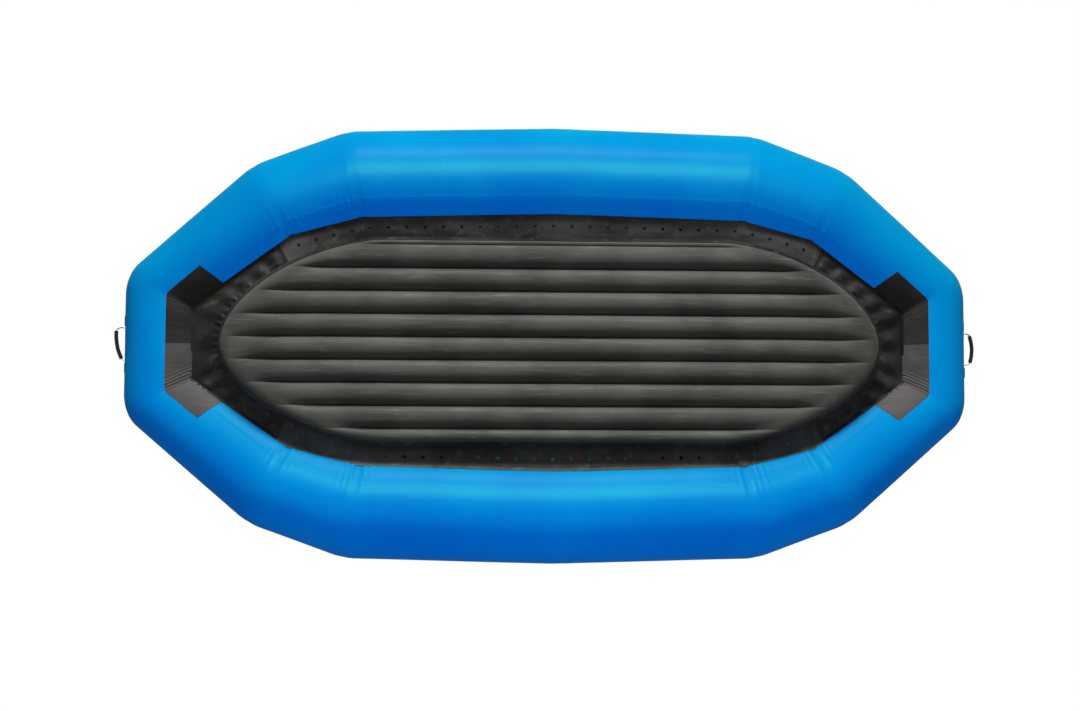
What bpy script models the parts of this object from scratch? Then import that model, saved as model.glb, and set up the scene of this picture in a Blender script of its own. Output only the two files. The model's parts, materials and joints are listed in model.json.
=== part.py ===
# Self-bailing whitewater raft: a mitred ring of four air chambers, a ribbed I-beam floor hung in it
# on a skirt with drain holes, two thwarts, valves, lashing rings and a carry handle at each end.
# X runs from stern to bow, Y to port and Z up. The origin is the middle of the raft on the ground.

import math

import bmesh
import bpy
from mathutils import Matrix, Vector

# Tube ring: outer outline in plan, from the middle of a side round to the middle of the bow
LENGTH = 4.228
BEAM = 2.134
SHOULDER_X = 1.000
SHOULDER_DRAW_IN = 0.026
QUARTER_X = 1.466
QUARTER_DRAW_IN = 0.191
CORNER_Y = 0.352
SIDE_RADIUS = 0.267
QUARTER_RADIUS = 0.255
END_RADIUS = 0.235
QUARTER_RISE = 0.055
END_RISE = 0.250
FABRIC = 0.0012
TUBE_FACETS = 32

# Clearances
GAP = 0.0003
GLUE = 0.0006
GLUE_ON_TWIST = 0.0024
OVERRUN = 0.010
WELD = 0.000001

# Baffles between the chambers
BAFFLE_CUFF = 0.030
BAFFLE_SIDES = 16
BAFFLE_CLEAR = 0.0008

# Floor: an air mattress of two skins tied together by webs in the valleys between its ribs
FLOOR_STRAIGHT = 1.620
FLOOR_DEPTH = 0.127
FLOOR_CLEAR = 0.010
FLOOR_LEVEL = 2.000
FLOOR_RISE = 0.120
FLOOR_LIP = 0.008
RIBS = 9
RIB_DEPTH = 0.024
RIB_CREST_SHARE = 1 / 3
RIB_FADE_SIDE = 0.090
RIB_FADE_END = 0.220
WEB_SEAT = 0.0018
END_POWER = 1.6
SIDE_POWER = 1.8
LEVEL_COLUMN_SHARES = [0.0, 0.53]
RISING_COLUMN_SHARES = [0.48, 0.79, 0.95, 1.0]

# Skirt between floor and tubes, glued to the tubes on a lap
SKIRT_SEAM = 0.0006
LAP_ANGLE = math.radians(8.0)
GLUE_ANGLES = [math.radians(a) for a in (44.0, 44.0, 38.0, 31.0, 31.0)]
SKIRT_WIDTH = 0.1143
END_SKIRT_WIDTH = 0.1432
SIDE_END_STATION = 2.12
HOLE_SHARE = 0.6
HOLES_EACH_WAY = 14
HOLE_PITCH = 0.088
HOLE_RADIUS = 0.0085
HOLE_SIDES = 6
PUCKER = 0.005

# Wear patches under bow and stern
PATCH_FABRIC = 0.0015
PATCH_START_STATION = 2.68
PATCH_OUTER_ANGLE = math.radians(2.5)

# Thwarts
THWART_X = 0.620
THWART_RADIUS = 0.180
THWART_FACE = 0.110
THWART_SIDES = 24
THWART_CROWN = 0.050
THWART_SHOULDER = 0.020

# Inflation valves, in the frame of the facet that carries them
VALVE_SIDES = 12
FLANGE_RADIUS = 0.031
FLANGE_HEIGHT = 0.003
COLLAR_RADIUS = 0.023
COLLAR_HEIGHT = 0.009
BARREL_RADIUS = 0.0195
BARREL_DEPTH = 0.030
VALVE_BORE = 0.0145
SEAT_BORE = 0.0115
SEAT_THICKNESS = 0.003
GUIDE_TOP = -0.010
GUIDE_THICKNESS = 0.002
GUIDE_AIR_GAP = 0.0025
FABRIC_HOLE_RADIUS = 0.0205
STEM_RADIUS = 0.003
BUTTON_RADIUS = 0.005
BUTTON_TOP = 0.003
BUTTON_THICKNESS = 0.004
DISC_RADIUS = 0.0138
DISC_THICKNESS = 0.003
CAP_RADIUS = 0.0265
CAP_THICKNESS = 0.004
CAP_PLUG_RADIUS = 0.0136
CAP_PLUG_DEPTH = 0.004
LUG_REACH = 0.0335
LUG_WIDTH = 0.012
LUG_SINK = 0.002
CHAMBER_VALVE_STATION = 0.42
CHAMBER_VALVE_ANGLE = math.radians(135.0)
THWART_VALVE_Y = 0.300
THWART_VALVE_ANGLE = math.radians(45.0)
FLOOR_VALVE_X = 0.930

# Pressure relief valve of the floor
RELIEF_HEIGHT = 0.006
POPPET_RADIUS = 0.017
POPPET_THICKNESS = 0.003
POPPET_STEM = 0.018

# Lashing rings and their patches
RING_STATION = 0.62
RING_ANGLE = math.radians(45.0)
RING_WIRE = 0.003
RING_WIDTH = 0.050
RING_DROP = 0.042
RING_SIDES_RESOLUTION = 1
RING_BOW_STEPS = 8
RING_PATCH_RADIUS = 0.075
RING_PATCH_FABRIC = 0.002
RING_PATCH_SIDES = 20
KEEPER_LENGTH = 0.028
KEEPER_WIDTH = 0.016
KEEPER_WALL = 0.003
KEEPER_SINK = 0.001
KEEPER_BORE_SIDES = 8

# Carry handle at each end: a webbing strap with a grip sleeve on it
HANDLE_ANGLE = math.radians(-11.25)
HANDLE_SPAN = 0.160
HANDLE_REACH = 0.052
STRAP_WIDTH = 0.025
STRAP_THICKNESS = 0.003
STRAP_ROUND = 0.016
STRAP_COLUMNS = 6
GRIP_LENGTH = 0.126
GRIP_HEIGHT = 0.017
GRIP_WIDTH = 0.030
GRIP_SIDES = 16
GRIP_CLEAR = 0.0006

ENDS = {"bow": 1, "stern": -1}
SIDES = {"port": 1, "starboard": -1}
FACET = math.tau / TUBE_FACETS
BOTTOM = -math.pi / 2
PARTS_NAME = "whitewater_raft"
CUTTERS_NAME = "cutters"

# Finishes: sRGB colour from 0 to 255, roughness, metallic
FINISHES = {
    "tube_fabric": ((2, 134, 213), 0.42, 0.0),
    "baffle_fabric": ((150, 150, 146), 0.60, 0.0),
    "floor_fabric": ((50, 50, 50), 0.50, 0.0),
    "web_fabric": ((92, 92, 90), 0.70, 0.0),
    "skirt_fabric": ((60, 59, 58), 0.60, 0.0),
    "wear_fabric": ((64, 64, 63), 0.60, 0.0),
    "valve_plastic": ((38, 39, 41), 0.45, 0.0),
    "stem_plastic": ((196, 198, 200), 0.40, 0.0),
    "webbing": ((24, 24, 25), 0.85, 0.0),
    "grip_rubber": ((18, 18, 19), 0.75, 0.0),
    "ring_steel": ((196, 198, 201), 0.25, 1.0),
}


def collection(name):
    found = bpy.data.collections.new(name)
    bpy.context.scene.collection.children.link(found)
    return found


def linear(channel):
    share = channel / 255
    return share / 12.92 if share <= 0.04045 else ((share + 0.055) / 1.055) ** 2.4


def finish(piece, name):
    colour, roughness, metallic = FINISHES[name]
    material = bpy.data.materials.new(f"{piece.name}_{name}")
    material.use_nodes = True
    shader = material.node_tree.nodes["Principled BSDF"]
    shader.inputs["Base Color"].default_value = (*[linear(c) for c in colour], 1.0)
    shader.inputs["Roughness"].default_value = roughness
    shader.inputs["Metallic"].default_value = metallic
    piece.data.materials.clear()
    piece.data.materials.append(material)


def add_object(name, shape, smooth_angle=math.radians(30.0)):
    data = bpy.data.meshes.new(name)
    shape.to_mesh(data)
    shape.free()
    data.shade_smooth()
    data.set_sharp_from_angle(angle=smooth_angle)
    piece = bpy.data.objects.new(name, data)
    parts.objects.link(piece)
    return piece


def as_cutter(piece):
    parts.objects.unlink(piece)
    cutters.objects.link(piece)
    piece.hide_render = True
    piece.display_type = "WIRE"
    return piece


def split_faces(piece):
    # Twisted faces then split the same way on both sides of a thin wall, which can't cross
    split = piece.modifiers.new("split", "TRIANGULATE")
    split.quad_method = "FIXED"


def thicken(piece, thickness, offset=-1.0):
    solid = piece.modifiers.new("fabric", "SOLIDIFY")
    solid.thickness = thickness
    solid.offset = offset
    solid.use_even_offset = True
    solid.use_quality_normals = True


def combine(piece, other, operation="DIFFERENCE"):
    cut = piece.modifiers.new(other.name, "BOOLEAN")
    cut.operation = operation
    cut.solver = "EXACT"
    cut.object = other


def loft(name, rows, closed=False, flip=False):
    # A surface through rows of points; a row can close on itself
    shape = bmesh.new()
    grid = [[shape.verts.new(point) for point in row] for row in rows]
    for low, high in zip(grid, grid[1:]):
        for here in range(len(low) if closed else len(low) - 1):
            ahead = (here + 1) % len(low)
            corners = [low[here], low[ahead], high[ahead], high[here]]
            shape.faces.new(corners[::-1] if flip else corners)
    bmesh.ops.remove_doubles(shape, verts=shape.verts, dist=WELD)
    return add_object(name, shape)


def turned(name, profile, sides, frame=Matrix(), turn=0.0):
    # A turned solid about the frame's Z: profile points (radius, height) run down the outer side
    shape = bmesh.new()
    spin = Matrix.Rotation(turn, 4, "Z")
    points = [shape.verts.new(spin @ Vector((radius, 0.0, height))) for radius, height in profile]
    for here, ahead in zip(points, points[1:]):
        shape.edges.new((here, ahead))
    data = bpy.data.meshes.new(name)
    shape.to_mesh(data)
    shape.free()
    piece = bpy.data.objects.new(name, data)
    parts.objects.link(piece)
    piece.matrix_world = frame
    screw = piece.modifiers.new("turn", "SCREW")
    screw.steps = screw.render_steps = sides
    screw.use_merge_vertices = True
    screw.merge_threshold = WELD
    screw.use_smooth_shade = True
    return piece


def box(name, low, high, frame=Matrix(), origin=Vector()):
    low, high = Vector(low), Vector(high)
    shape = bmesh.new()
    bmesh.ops.create_cube(shape, size=1.0)
    size = high - low
    bmesh.ops.scale(shape, verts=shape.verts, vec=size)
    bmesh.ops.translate(shape, verts=shape.verts, vec=(low + high) / 2 - origin)
    piece = add_object(name, shape)
    piece.matrix_world = frame @ Matrix.Translation(origin)
    return piece


def rods(name, places, radius, depth, sides, frame=Matrix()):
    # Upright rods in one mesh, each centred on its place
    shape = bmesh.new()
    for place in places:
        bmesh.ops.create_cone(
            shape, cap_ends=True, segments=sides, radius1=radius, radius2=radius, depth=depth,
            matrix=Matrix.Translation(place),
        )
    piece = add_object(name, shape)
    piece.matrix_world = frame
    return piece


class Ring:
    # One mitred section of the tube ring, upright on the bisector of a bend
    def __init__(self, before, here, after, radius, rise):
        run_in = (here - before).normalized()
        run_on = (after - here).normalized()
        along = (run_in + run_on).normalized()
        self.out = Vector((-along.y, along.x))
        self.stretch = 1 / run_in.dot(along)
        self.radius = radius
        self.centre = here - self.out * radius * self.stretch
        self.height = rise + radius

    def point(self, angle, lift):
        # Angle 0 is outboard and level, and a quarter turn is the top; lift is measured off the fabric
        off_middle = (angle + FACET / 2) % FACET - FACET / 2
        reach = (self.radius + lift) / math.cos(off_middle)
        across = self.centre + self.out * reach * math.cos(angle) * self.stretch
        return Vector((across.x, across.y, self.height + reach * math.sin(angle)))


def tube_rings():
    bends = [
        (0.0, BEAM / 2, SIDE_RADIUS, 0.0),
        (SHOULDER_X, BEAM / 2 - SHOULDER_DRAW_IN, SIDE_RADIUS, 0.0),
        (QUARTER_X, BEAM / 2 - QUARTER_DRAW_IN, QUARTER_RADIUS, QUARTER_RISE),
        (LENGTH / 2, CORNER_Y, END_RADIUS, END_RISE),
        (LENGTH / 2, 0.0, END_RADIUS, END_RISE),
    ]
    path = [Vector(bend[:2]) for bend in bends]
    before = Vector((-path[1].x, path[1].y))
    after = Vector((path[-2].x, -path[-2].y))
    path = [before, *path, after]
    return [Ring(*path[k:k + 3], *bend[2:]) for k, bend in enumerate(bends)]


def tube_point(station, angle, lift=0.0):
    # Stations count the rings: 0 at the middle of a side, 4 at the middle of the bow
    first = min(int(station), len(rings) - 2)
    start, stop = rings[first].point(angle, lift), rings[first + 1].point(angle, lift)
    return start.lerp(stop, station - first)


def mirrored(point, end, side):
    return Vector((point.x * end, point.y * side, point.z))


def facet_frame(station, angle, end, side):
    # Origin on a facet's middle line, Z off the fabric, Y up round the tube
    here = mirrored(tube_point(station, angle), end, side)
    up = mirrored(tube_point(station, angle + FACET / 4), end, side) - here
    first = min(int(station), len(rings) - 2)
    start, stop = [mirrored(rings[k].point(angle, 0.0), end, side) for k in (first, first + 1)]
    along = stop - start
    out = up.cross(along).normalized() * (end * side)
    up = out.cross(along).normalized() * (end * side)
    return frame_from(here, up if up.z * math.cos(angle) >= 0 else -up, out)


def frame_from(origin, up, out):
    sideways = up.cross(out)
    frame = Matrix((sideways, up, out)).transposed().to_4x4()
    frame.translation = origin
    return frame


def build_chambers():
    angles = [FACET * (facet + 0.5) for facet in range(TUBE_FACETS)]
    last = len(rings) - 1
    trim_side = GAP / 2 / rings[1].centre.x
    trim_end = GAP / 2 / rings[last - 1].centre.y
    stations = [trim_side, *range(1, last), last - trim_end]
    chambers = {}
    for end_name, end in ENDS.items():
        for side_name, side in SIDES.items():
            rows = [[mirrored(tube_point(s, a), end, side) for a in angles] for s in stations]
            name = f"chamber_{end_name}_{side_name}"
            chamber = loft(name, rows, closed=True, flip=end * side < 0)
            thicken(chamber, FABRIC)
            finish(chamber, "tube_fabric")
            chambers[end_name, side_name] = chamber
    return chambers


def build_baffles():
    places = {}
    for side_name, side in SIDES.items():
        middle = rings[0]
        places[side_name] = ((0.0, middle.centre.y * side, middle.height), Vector((1, 0, 0)), middle.radius)
    for end_name, end in ENDS.items():
        middle = rings[-1]
        places[end_name] = ((middle.centre.x * end, 0.0, middle.height), Vector((0, 1, 0)), middle.radius)
    for place_name, (centre, axis, radius) in places.items():
        outer = radius - FABRIC - BAFFLE_CLEAR
        inner = outer - FABRIC
        half_web, half_cuff = FABRIC / 2, BAFFLE_CUFF / 2
        profile = [(0.0, half_web), (inner, half_web), (inner, half_cuff), (outer, half_cuff)]
        profile += [(reach, -height) for reach, height in profile[::-1]]
        frame = frame_from(Vector(centre), Vector((0, 0, 1)), axis)
        baffle = turned(f"baffle_{place_name}", profile, BAFFLE_SIDES, frame)
        finish(baffle, "baffle_fabric")


def floor_reach(y):
    share = min(abs(y) / (floor_width / 2), 1.0)
    rounding = (floor_length - FLOOR_STRAIGHT) / 2
    return FLOOR_STRAIGHT / 2 + rounding * (1 - share ** SIDE_POWER) ** (1 / END_POWER)


def floor_half_width(x):
    share = (abs(x) - FLOOR_STRAIGHT / 2) / ((floor_length - FLOOR_STRAIGHT) / 2)
    share = min(max(share, 0.0), 1.0)
    return floor_width / 2 * (1 - share ** END_POWER) ** (1 / SIDE_POWER)


def floor_middle(x):
    share = max(0.0, (abs(x) - FLOOR_LEVEL / 2) / ((floor_length - FLOOR_LEVEL) / 2))
    return FLOOR_CLEAR + FLOOR_DEPTH / 2 + FLOOR_RISE * share ** 2


def ease(share):
    share = min(max(share, 0.0), 1.0)
    return share * share * (3 - 2 * share)


def floor_half_depth(x, y):
    along, across = floor_reach(y) - abs(x), floor_half_width(x) - abs(y)
    if min(along, across) <= 0:
        return FLOOR_LIP
    inside = along * across / math.hypot(along, across)
    edge = max(FLOOR_DEPTH / 2 - inside, 0.0)
    round_over = math.sqrt((FLOOR_DEPTH / 2) ** 2 - edge ** 2)
    pitch = floor_width / RIBS
    off_crest = abs((y / pitch + 0.5) % 1 - 0.5)
    half_crest = RIB_CREST_SHARE / 2
    valley = max(0.0, (off_crest - half_crest) / (0.5 - half_crest))
    fade = ease(inside / RIB_FADE_SIDE) * ease(along / RIB_FADE_END)
    return max(round_over - RIB_DEPTH * valley * fade, FLOOR_LIP)


def column_shares():
    level = FLOOR_LEVEL / floor_length
    return [share * level for share in LEVEL_COLUMN_SHARES] + [
        level, *[level + share * (1 - level) for share in RISING_COLUMN_SHARES]]


def floor_columns():
    return [-share for share in column_shares()[:0:-1]] + column_shares()


def build_floor():
    lines = RIBS * 3
    across = [floor_width * (line / lines - 0.5) for line in range(lines + 1)]
    across = [across[0], *across, across[-1]]
    along = floor_columns()
    along = [along[0], *along, along[-1]]
    skins = {}
    for name, up in {"floor_top_skin": 1, "floor_bottom_skin": -1}.items():
        rows = []
        for row, y in enumerate(across):
            points = []
            for column, share in enumerate(along):
                x = floor_reach(y) * share
                on_lip = row in (0, len(across) - 1) or column in (0, len(along) - 1)
                depth = GAP / 2 if on_lip else floor_half_depth(x, y)
                points.append(Vector((x, y, floor_middle(x) + up * depth)))
            rows.append(points)
        skin = loft(name, rows, flip=up < 0)
        thicken(skin, FABRIC)
        finish(skin, "floor_fabric")
        skins[name] = skin
    return skins


def build_webs():
    for number in range(1, RIBS):
        y = floor_width * (number / RIBS - 0.5)
        reach = floor_reach(y)
        inner_share = (reach - RIB_FADE_END) / reach
        shares = [share for share in floor_columns() if abs(share) < inner_share]
        shares = [-inner_share, *shares, inner_share]
        rows = []
        for up in (-1, 1):
            row = []
            for share in shares:
                x = reach * share
                row.append(Vector((x, y, floor_middle(x) + up * (floor_half_depth(x, y) - WEB_SEAT))))
            rows.append(row)
        web = loft(f"floor_web_{number}", rows)
        thicken(web, FABRIC, offset=0.0)
        finish(web, "web_fabric")


def floor_border():
    # The floor's edge in plan from the middle of the port side to the bow, with the length run so far
    lines = RIBS * 3
    side = [(share * FLOOR_STRAIGHT / 2, floor_width / 2) for share in column_shares()]
    heights = [floor_width * (0.5 - line / lines) for line in range(1, lines // 2 + 1)]
    end = [(floor_reach(y), y) for y in heights]
    points = [Vector(p) for p in side + end + [(end[-1][0], 0.0)]]
    border, run = [], 0.0
    for here, ahead in zip(points, points[1:]):
        border.append((run, here))
        run += (ahead - here).length
    border.append((run, points[-1]))
    return border


def border_point(run):
    for (start, here), (stop, ahead) in zip(border, border[1:]):
        if run <= stop:
            share = (run - start) / (stop - start)
            along = (ahead - here).normalized()
            spot = here.lerp(ahead, share) + Vector((-along.y, along.x)) * SKIRT_SEAM
            return Vector((spot.x, spot.y, floor_middle(spot.x)))
    last = border[-1][1]
    return Vector((last.x + SKIRT_SEAM, 0.0, floor_middle(last.x)))


def border_run_near(point):
    best = None
    for (start, here), (stop, ahead) in zip(border, border[1:]):
        along = ahead - here
        share = min(max((point.xy - here).dot(along) / along.length_squared, 0.0), 1.0)
        distance = (here.lerp(ahead, share) - point.xy).length
        if best is None or distance < best[0]:
            best = (distance, start + share * (stop - start))
    return best[1]


def glue_angle(station):
    first = min(int(station), len(GLUE_ANGLES) - 2)
    share = station - first
    return GLUE_ANGLES[first] * (1 - share) + GLUE_ANGLES[first + 1] * share


def glue_lift(station):
    # Off the level, even stretches the tube's facets are slightly twisted
    return GLUE if station <= 1 or station >= 3 else GLUE_ON_TWIST


def skirt_runs():
    runs = [0.0]
    for station in (1, 2, 3):
        runs.append(border_run_near(tube_point(station, BOTTOM - glue_angle(station))))
    return runs + [border[-1][0]]


def station_at(run):
    for station, (start, stop) in enumerate(zip(match_runs, match_runs[1:])):
        if run <= stop:
            return station + (run - start) / (stop - start)
    return len(match_runs) - 1


def run_at(station):
    first = min(int(station), len(match_runs) - 2)
    return match_runs[first] + (station - first) * (match_runs[first + 1] - match_runs[first])


def skirt_section(run, pucker=0.0):
    # Points across the skirt: floor seam, hole line, and the lap on the tube, which bends on a facet's edge
    station = station_at(run)
    lift = glue_lift(station)
    outer = BOTTOM - glue_angle(station)
    inner = outer - LAP_ANGLE
    bend = (facet_edges_between(inner, outer) or [(inner + outer) / 2])[0]
    seam = border_point(run)
    lap = [tube_point(station, angle, lift) for angle in (inner, bend, outer)]
    hole_line = seam.lerp(lap[0], HOLE_SHARE)
    hole_line.z += pucker
    return [seam, hole_line, *lap]


def runs_between(start, stop):
    inside = {run for run, _ in border if start < run < stop}
    inside |= {run for run in match_runs if start < run < stop}
    return [start, *sorted(inside), stop]


def build_side_skirts():
    split = run_at(SIDE_END_STATION) - GAP
    half = [skirt_section(run) for run in runs_between(0.0, split)]
    sections = [[mirrored(p, -1, 1) for p in section] for section in half[:0:-1]] + half
    holes = hole_places([section[1] for section in half])
    for name, side in SIDES.items():
        rows = [[mirrored(section[k], 1, side) for section in sections] for k in range(len(half[0]))]
        skirt = loft(f"drain_skirt_{name}", rows, flip=side < 0)
        split_faces(skirt)
        thicken(skirt, FABRIC)
        places = [mirrored(place, end, side) for place in holes for end in ((1, -1) if place.x > 0 else (1,))]
        drill = rods(f"drain_holes_{name}", places, HOLE_RADIUS, SIDE_RADIUS, HOLE_SIDES)
        combine(skirt, as_cutter(drill))
        finish(skirt, "skirt_fabric")


def hole_places(line):
    places, wanted, run = [], 0.0, 0.0
    for here, ahead in zip(line, line[1:]):
        length = (ahead - here).length
        while wanted <= run + length and len(places) <= HOLES_EACH_WAY:
            places.append(here.lerp(ahead, (wanted - run) / length))
            wanted += HOLE_PITCH
        run += length
    return places


def build_end_skirts():
    runs = runs_between(run_at(SIDE_END_STATION) + GAP, border[-1][0])
    half = []
    for number, run in enumerate(runs):
        inner = 0 < number < len(runs) - 1
        half.append(skirt_section(run, PUCKER * (-1) ** number if inner else 0.0))
    sections = half + [[mirrored(p, 1, -1) for p in section] for section in half[-2::-1]]
    for name, end in ENDS.items():
        rows = [[mirrored(section[k], end, 1) for section in sections] for k in range(len(half[0]))]
        skirt = loft(f"{name}_skirt", rows, flip=end < 0)
        split_faces(skirt)
        thicken(skirt, FABRIC)
        finish(skirt, "skirt_fabric")


def build_wear_patches():
    stations = [PATCH_START_STATION, 3, len(rings) - 1]
    outer = BOTTOM + PATCH_OUTER_ANGLE
    bends = facet_edges_between(BOTTOM - max(glue_angle(station) for station in stations), outer)
    half = []
    for station in stations:
        lift = GLUE_ON_TWIST if station < 3 else GLUE
        inner = BOTTOM - glue_angle(station) + GAP / END_RADIUS
        edges = [min(max(angle, inner), outer) for angle in bends]
        half.append([tube_point(station, angle, lift) for angle in [inner, *edges, outer]])
    sections = half + [[mirrored(p, 1, -1) for p in section] for section in half[-2::-1]]
    for name, end in ENDS.items():
        rows = [[mirrored(section[k], end, 1) for section in sections] for k in range(len(half[0]))]
        patch = loft(f"{name}_wear_patch", rows, flip=end < 0)
        thicken(patch, PATCH_FABRIC)
        finish(patch, "wear_fabric")


def facet_edges_between(low, high):
    first = math.ceil(low / FACET - 0.5)
    last = math.floor(high / FACET - 0.5)
    return [FACET * (number + 0.5) for number in range(first, last + 1)]


def thwart_height():
    return FLOOR_CLEAR + FLOOR_DEPTH + GAP + THWART_RADIUS


def thwart_half_length():
    # Its end faces touch the tubes where these draw in most, at the face's outboard rim
    share = (THWART_X + THWART_RADIUS) / tube_point(1, math.pi).x
    return tube_point(share, math.pi).y - GAP


def build_thwarts():
    half = thwart_half_length()
    profile = [(0.0, half), (THWART_FACE, half), (THWART_RADIUS - THWART_SHOULDER, half - THWART_SHOULDER)]
    profile += [(THWART_RADIUS, half - THWART_CROWN)]
    widen = 1 / math.cos(math.pi / THWART_SIDES)
    profile = [(reach * widen, height) for reach, height in profile]
    profile += [(reach, -height) for reach, height in profile[::-1]]
    for name, end in ENDS.items():
        centre = Vector((THWART_X * end, 0.0, thwart_height()))
        frame = frame_from(centre, Vector((0, 0, 1)), Vector((0, 1, 0)))
        thwart = turned(f"{name}_thwart", profile, THWART_SIDES, frame, turn=math.pi / THWART_SIDES)
        thicken(thwart, FABRIC)
        valve = thwart_valve_frame(end)
        combine(thwart, fabric_hole(f"{name}_thwart_hole", valve))
        finish(thwart, "tube_fabric")
        build_valve(f"{name}_thwart", valve, stemmed=False)


def thwart_valve_frame(end):
    # On the upper quarter of the thwart that faces the middle of the raft
    out = Vector((-end * math.cos(THWART_VALVE_ANGLE), 0.0, math.sin(THWART_VALVE_ANGLE)))
    centre = Vector((THWART_X * end, THWART_VALVE_Y, thwart_height()))
    up = Vector((0, 1, 0)).cross(out) * end
    return frame_from(centre + out * THWART_RADIUS, up, out)


def fabric_hole(name, frame):
    return as_cutter(rods(name, [Vector()], FABRIC_HOLE_RADIUS, 2 * OVERRUN, VALVE_SIDES * 2, frame))


def valve_body_profile(top, bore):
    bottom = -BARREL_DEPTH
    profile = [(bore, top), (COLLAR_RADIUS, top), (COLLAR_RADIUS, GAP + FLANGE_HEIGHT)]
    profile += [(FLANGE_RADIUS, GAP + FLANGE_HEIGHT), (FLANGE_RADIUS, GAP)]
    profile += [(BARREL_RADIUS, GAP), (BARREL_RADIUS, bottom), (SEAT_BORE, bottom)]
    profile += [(SEAT_BORE, bottom + SEAT_THICKNESS), (bore, bottom + SEAT_THICKNESS)]
    return profile


def guide_profile(bore):
    # A plate across the bore with a hole that the air and the stem go through
    low = GUIDE_TOP - GUIDE_THICKNESS
    hole = STEM_RADIUS + GUIDE_AIR_GAP
    return [(bore, low), (hole, low), (hole, GUIDE_TOP), (bore, GUIDE_TOP)]


def build_valve_body(name, frame, top, guided=False):
    profile = valve_body_profile(top, VALVE_BORE)
    profile += guide_profile(VALVE_BORE) if guided else []
    body = turned(name, profile + profile[:1], VALVE_SIDES, frame)
    finish(body, "valve_plastic")
    return body


def build_valve(name, frame, stemmed=True):
    body = build_valve_body(f"{name}_valve_body", frame, COLLAR_HEIGHT)
    lug_low = (-LUG_WIDTH / 2, -LUG_REACH, GAP)
    lug = box(f"{name}_lug", lug_low, (LUG_WIDTH / 2, -COLLAR_RADIUS + LUG_SINK, COLLAR_HEIGHT), frame)
    combine(body, as_cutter(lug), "UNION")
    build_cap(f"{name}_valve_cap", frame)
    if stemmed:
        build_stem(f"{name}_valve_stem", frame)


def hinge_origin():
    return Vector((0.0, -LUG_REACH - GAP, COLLAR_HEIGHT + GAP))


def build_cap(name, frame):
    low, high = COLLAR_HEIGHT + GAP, COLLAR_HEIGHT + GAP + CAP_THICKNESS
    ear_low = (-LUG_WIDTH / 2, -LUG_REACH, low)
    cap = box(name, ear_low, (LUG_WIDTH / 2, -CAP_PLUG_RADIUS, high), frame, hinge_origin())
    profile = [(0.0, high), (CAP_RADIUS, high), (CAP_RADIUS, low), (CAP_PLUG_RADIUS, low)]
    profile += [(CAP_PLUG_RADIUS, low - CAP_PLUG_DEPTH), (0.0, low - CAP_PLUG_DEPTH)]
    combine(cap, as_cutter(turned(f"{name}_disc", profile, VALVE_SIDES, frame)), "UNION")
    finish(cap, "valve_plastic")


def build_stem(name, frame):
    disc_top = -BARREL_DEPTH - GAP
    profile = [(0.0, BUTTON_TOP), (BUTTON_RADIUS, BUTTON_TOP), (BUTTON_RADIUS, BUTTON_TOP - BUTTON_THICKNESS)]
    profile += [(STEM_RADIUS, BUTTON_TOP - BUTTON_THICKNESS), (STEM_RADIUS, disc_top)]
    profile += [(DISC_RADIUS, disc_top), (DISC_RADIUS, disc_top - DISC_THICKNESS)]
    profile += [(0.0, disc_top - DISC_THICKNESS)]
    finish(turned(name, profile, VALVE_SIDES, frame), "stem_plastic")


def build_chamber_valves(chambers):
    for (end_name, side_name), chamber in chambers.items():
        end, side = ENDS[end_name], SIDES[side_name]
        frame = facet_frame(CHAMBER_VALVE_STATION, CHAMBER_VALVE_ANGLE, end, side)
        name = f"{end_name}_{side_name}"
        combine(chamber, fabric_hole(f"{name}_fabric_hole", frame))
        build_valve(name, frame)


def floor_valve_frame(x):
    top = Vector((x, 0.0, FLOOR_CLEAR + FLOOR_DEPTH))
    return frame_from(top, Vector((0, 1, 0)), Vector((0, 0, 1)))


def build_floor_valves(skin):
    inflate, relieve = floor_valve_frame(FLOOR_VALVE_X), floor_valve_frame(-FLOOR_VALVE_X)
    combine(skin, fabric_hole("floor_valve_hole", inflate))
    combine(skin, fabric_hole("relief_valve_hole", relieve))
    build_valve("floor", inflate)
    build_valve_body("relief_valve_body", relieve, RELIEF_HEIGHT, guided=True)
    low = RELIEF_HEIGHT + GAP
    profile = [(0.0, low + POPPET_THICKNESS), (POPPET_RADIUS, low + POPPET_THICKNESS), (POPPET_RADIUS, low)]
    profile += [(STEM_RADIUS, low), (STEM_RADIUS, -POPPET_STEM), (0.0, -POPPET_STEM)]
    finish(turned("relief_valve_poppet", profile, VALVE_SIDES, relieve), "stem_plastic")


def build_lashing_rings():
    for end_name, end in ENDS.items():
        for side_name, side in SIDES.items():
            name = f"lashing_ring_{end_name}_{side_name}"
            frame = facet_frame(RING_STATION, RING_ANGLE, end, side)
            build_ring_patch(f"{name}_patch", frame, end, side)
            build_ring(name, frame)


def bar_height():
    return GLUE + RING_PATCH_FABRIC + KEEPER_WALL + RING_WIRE


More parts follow.
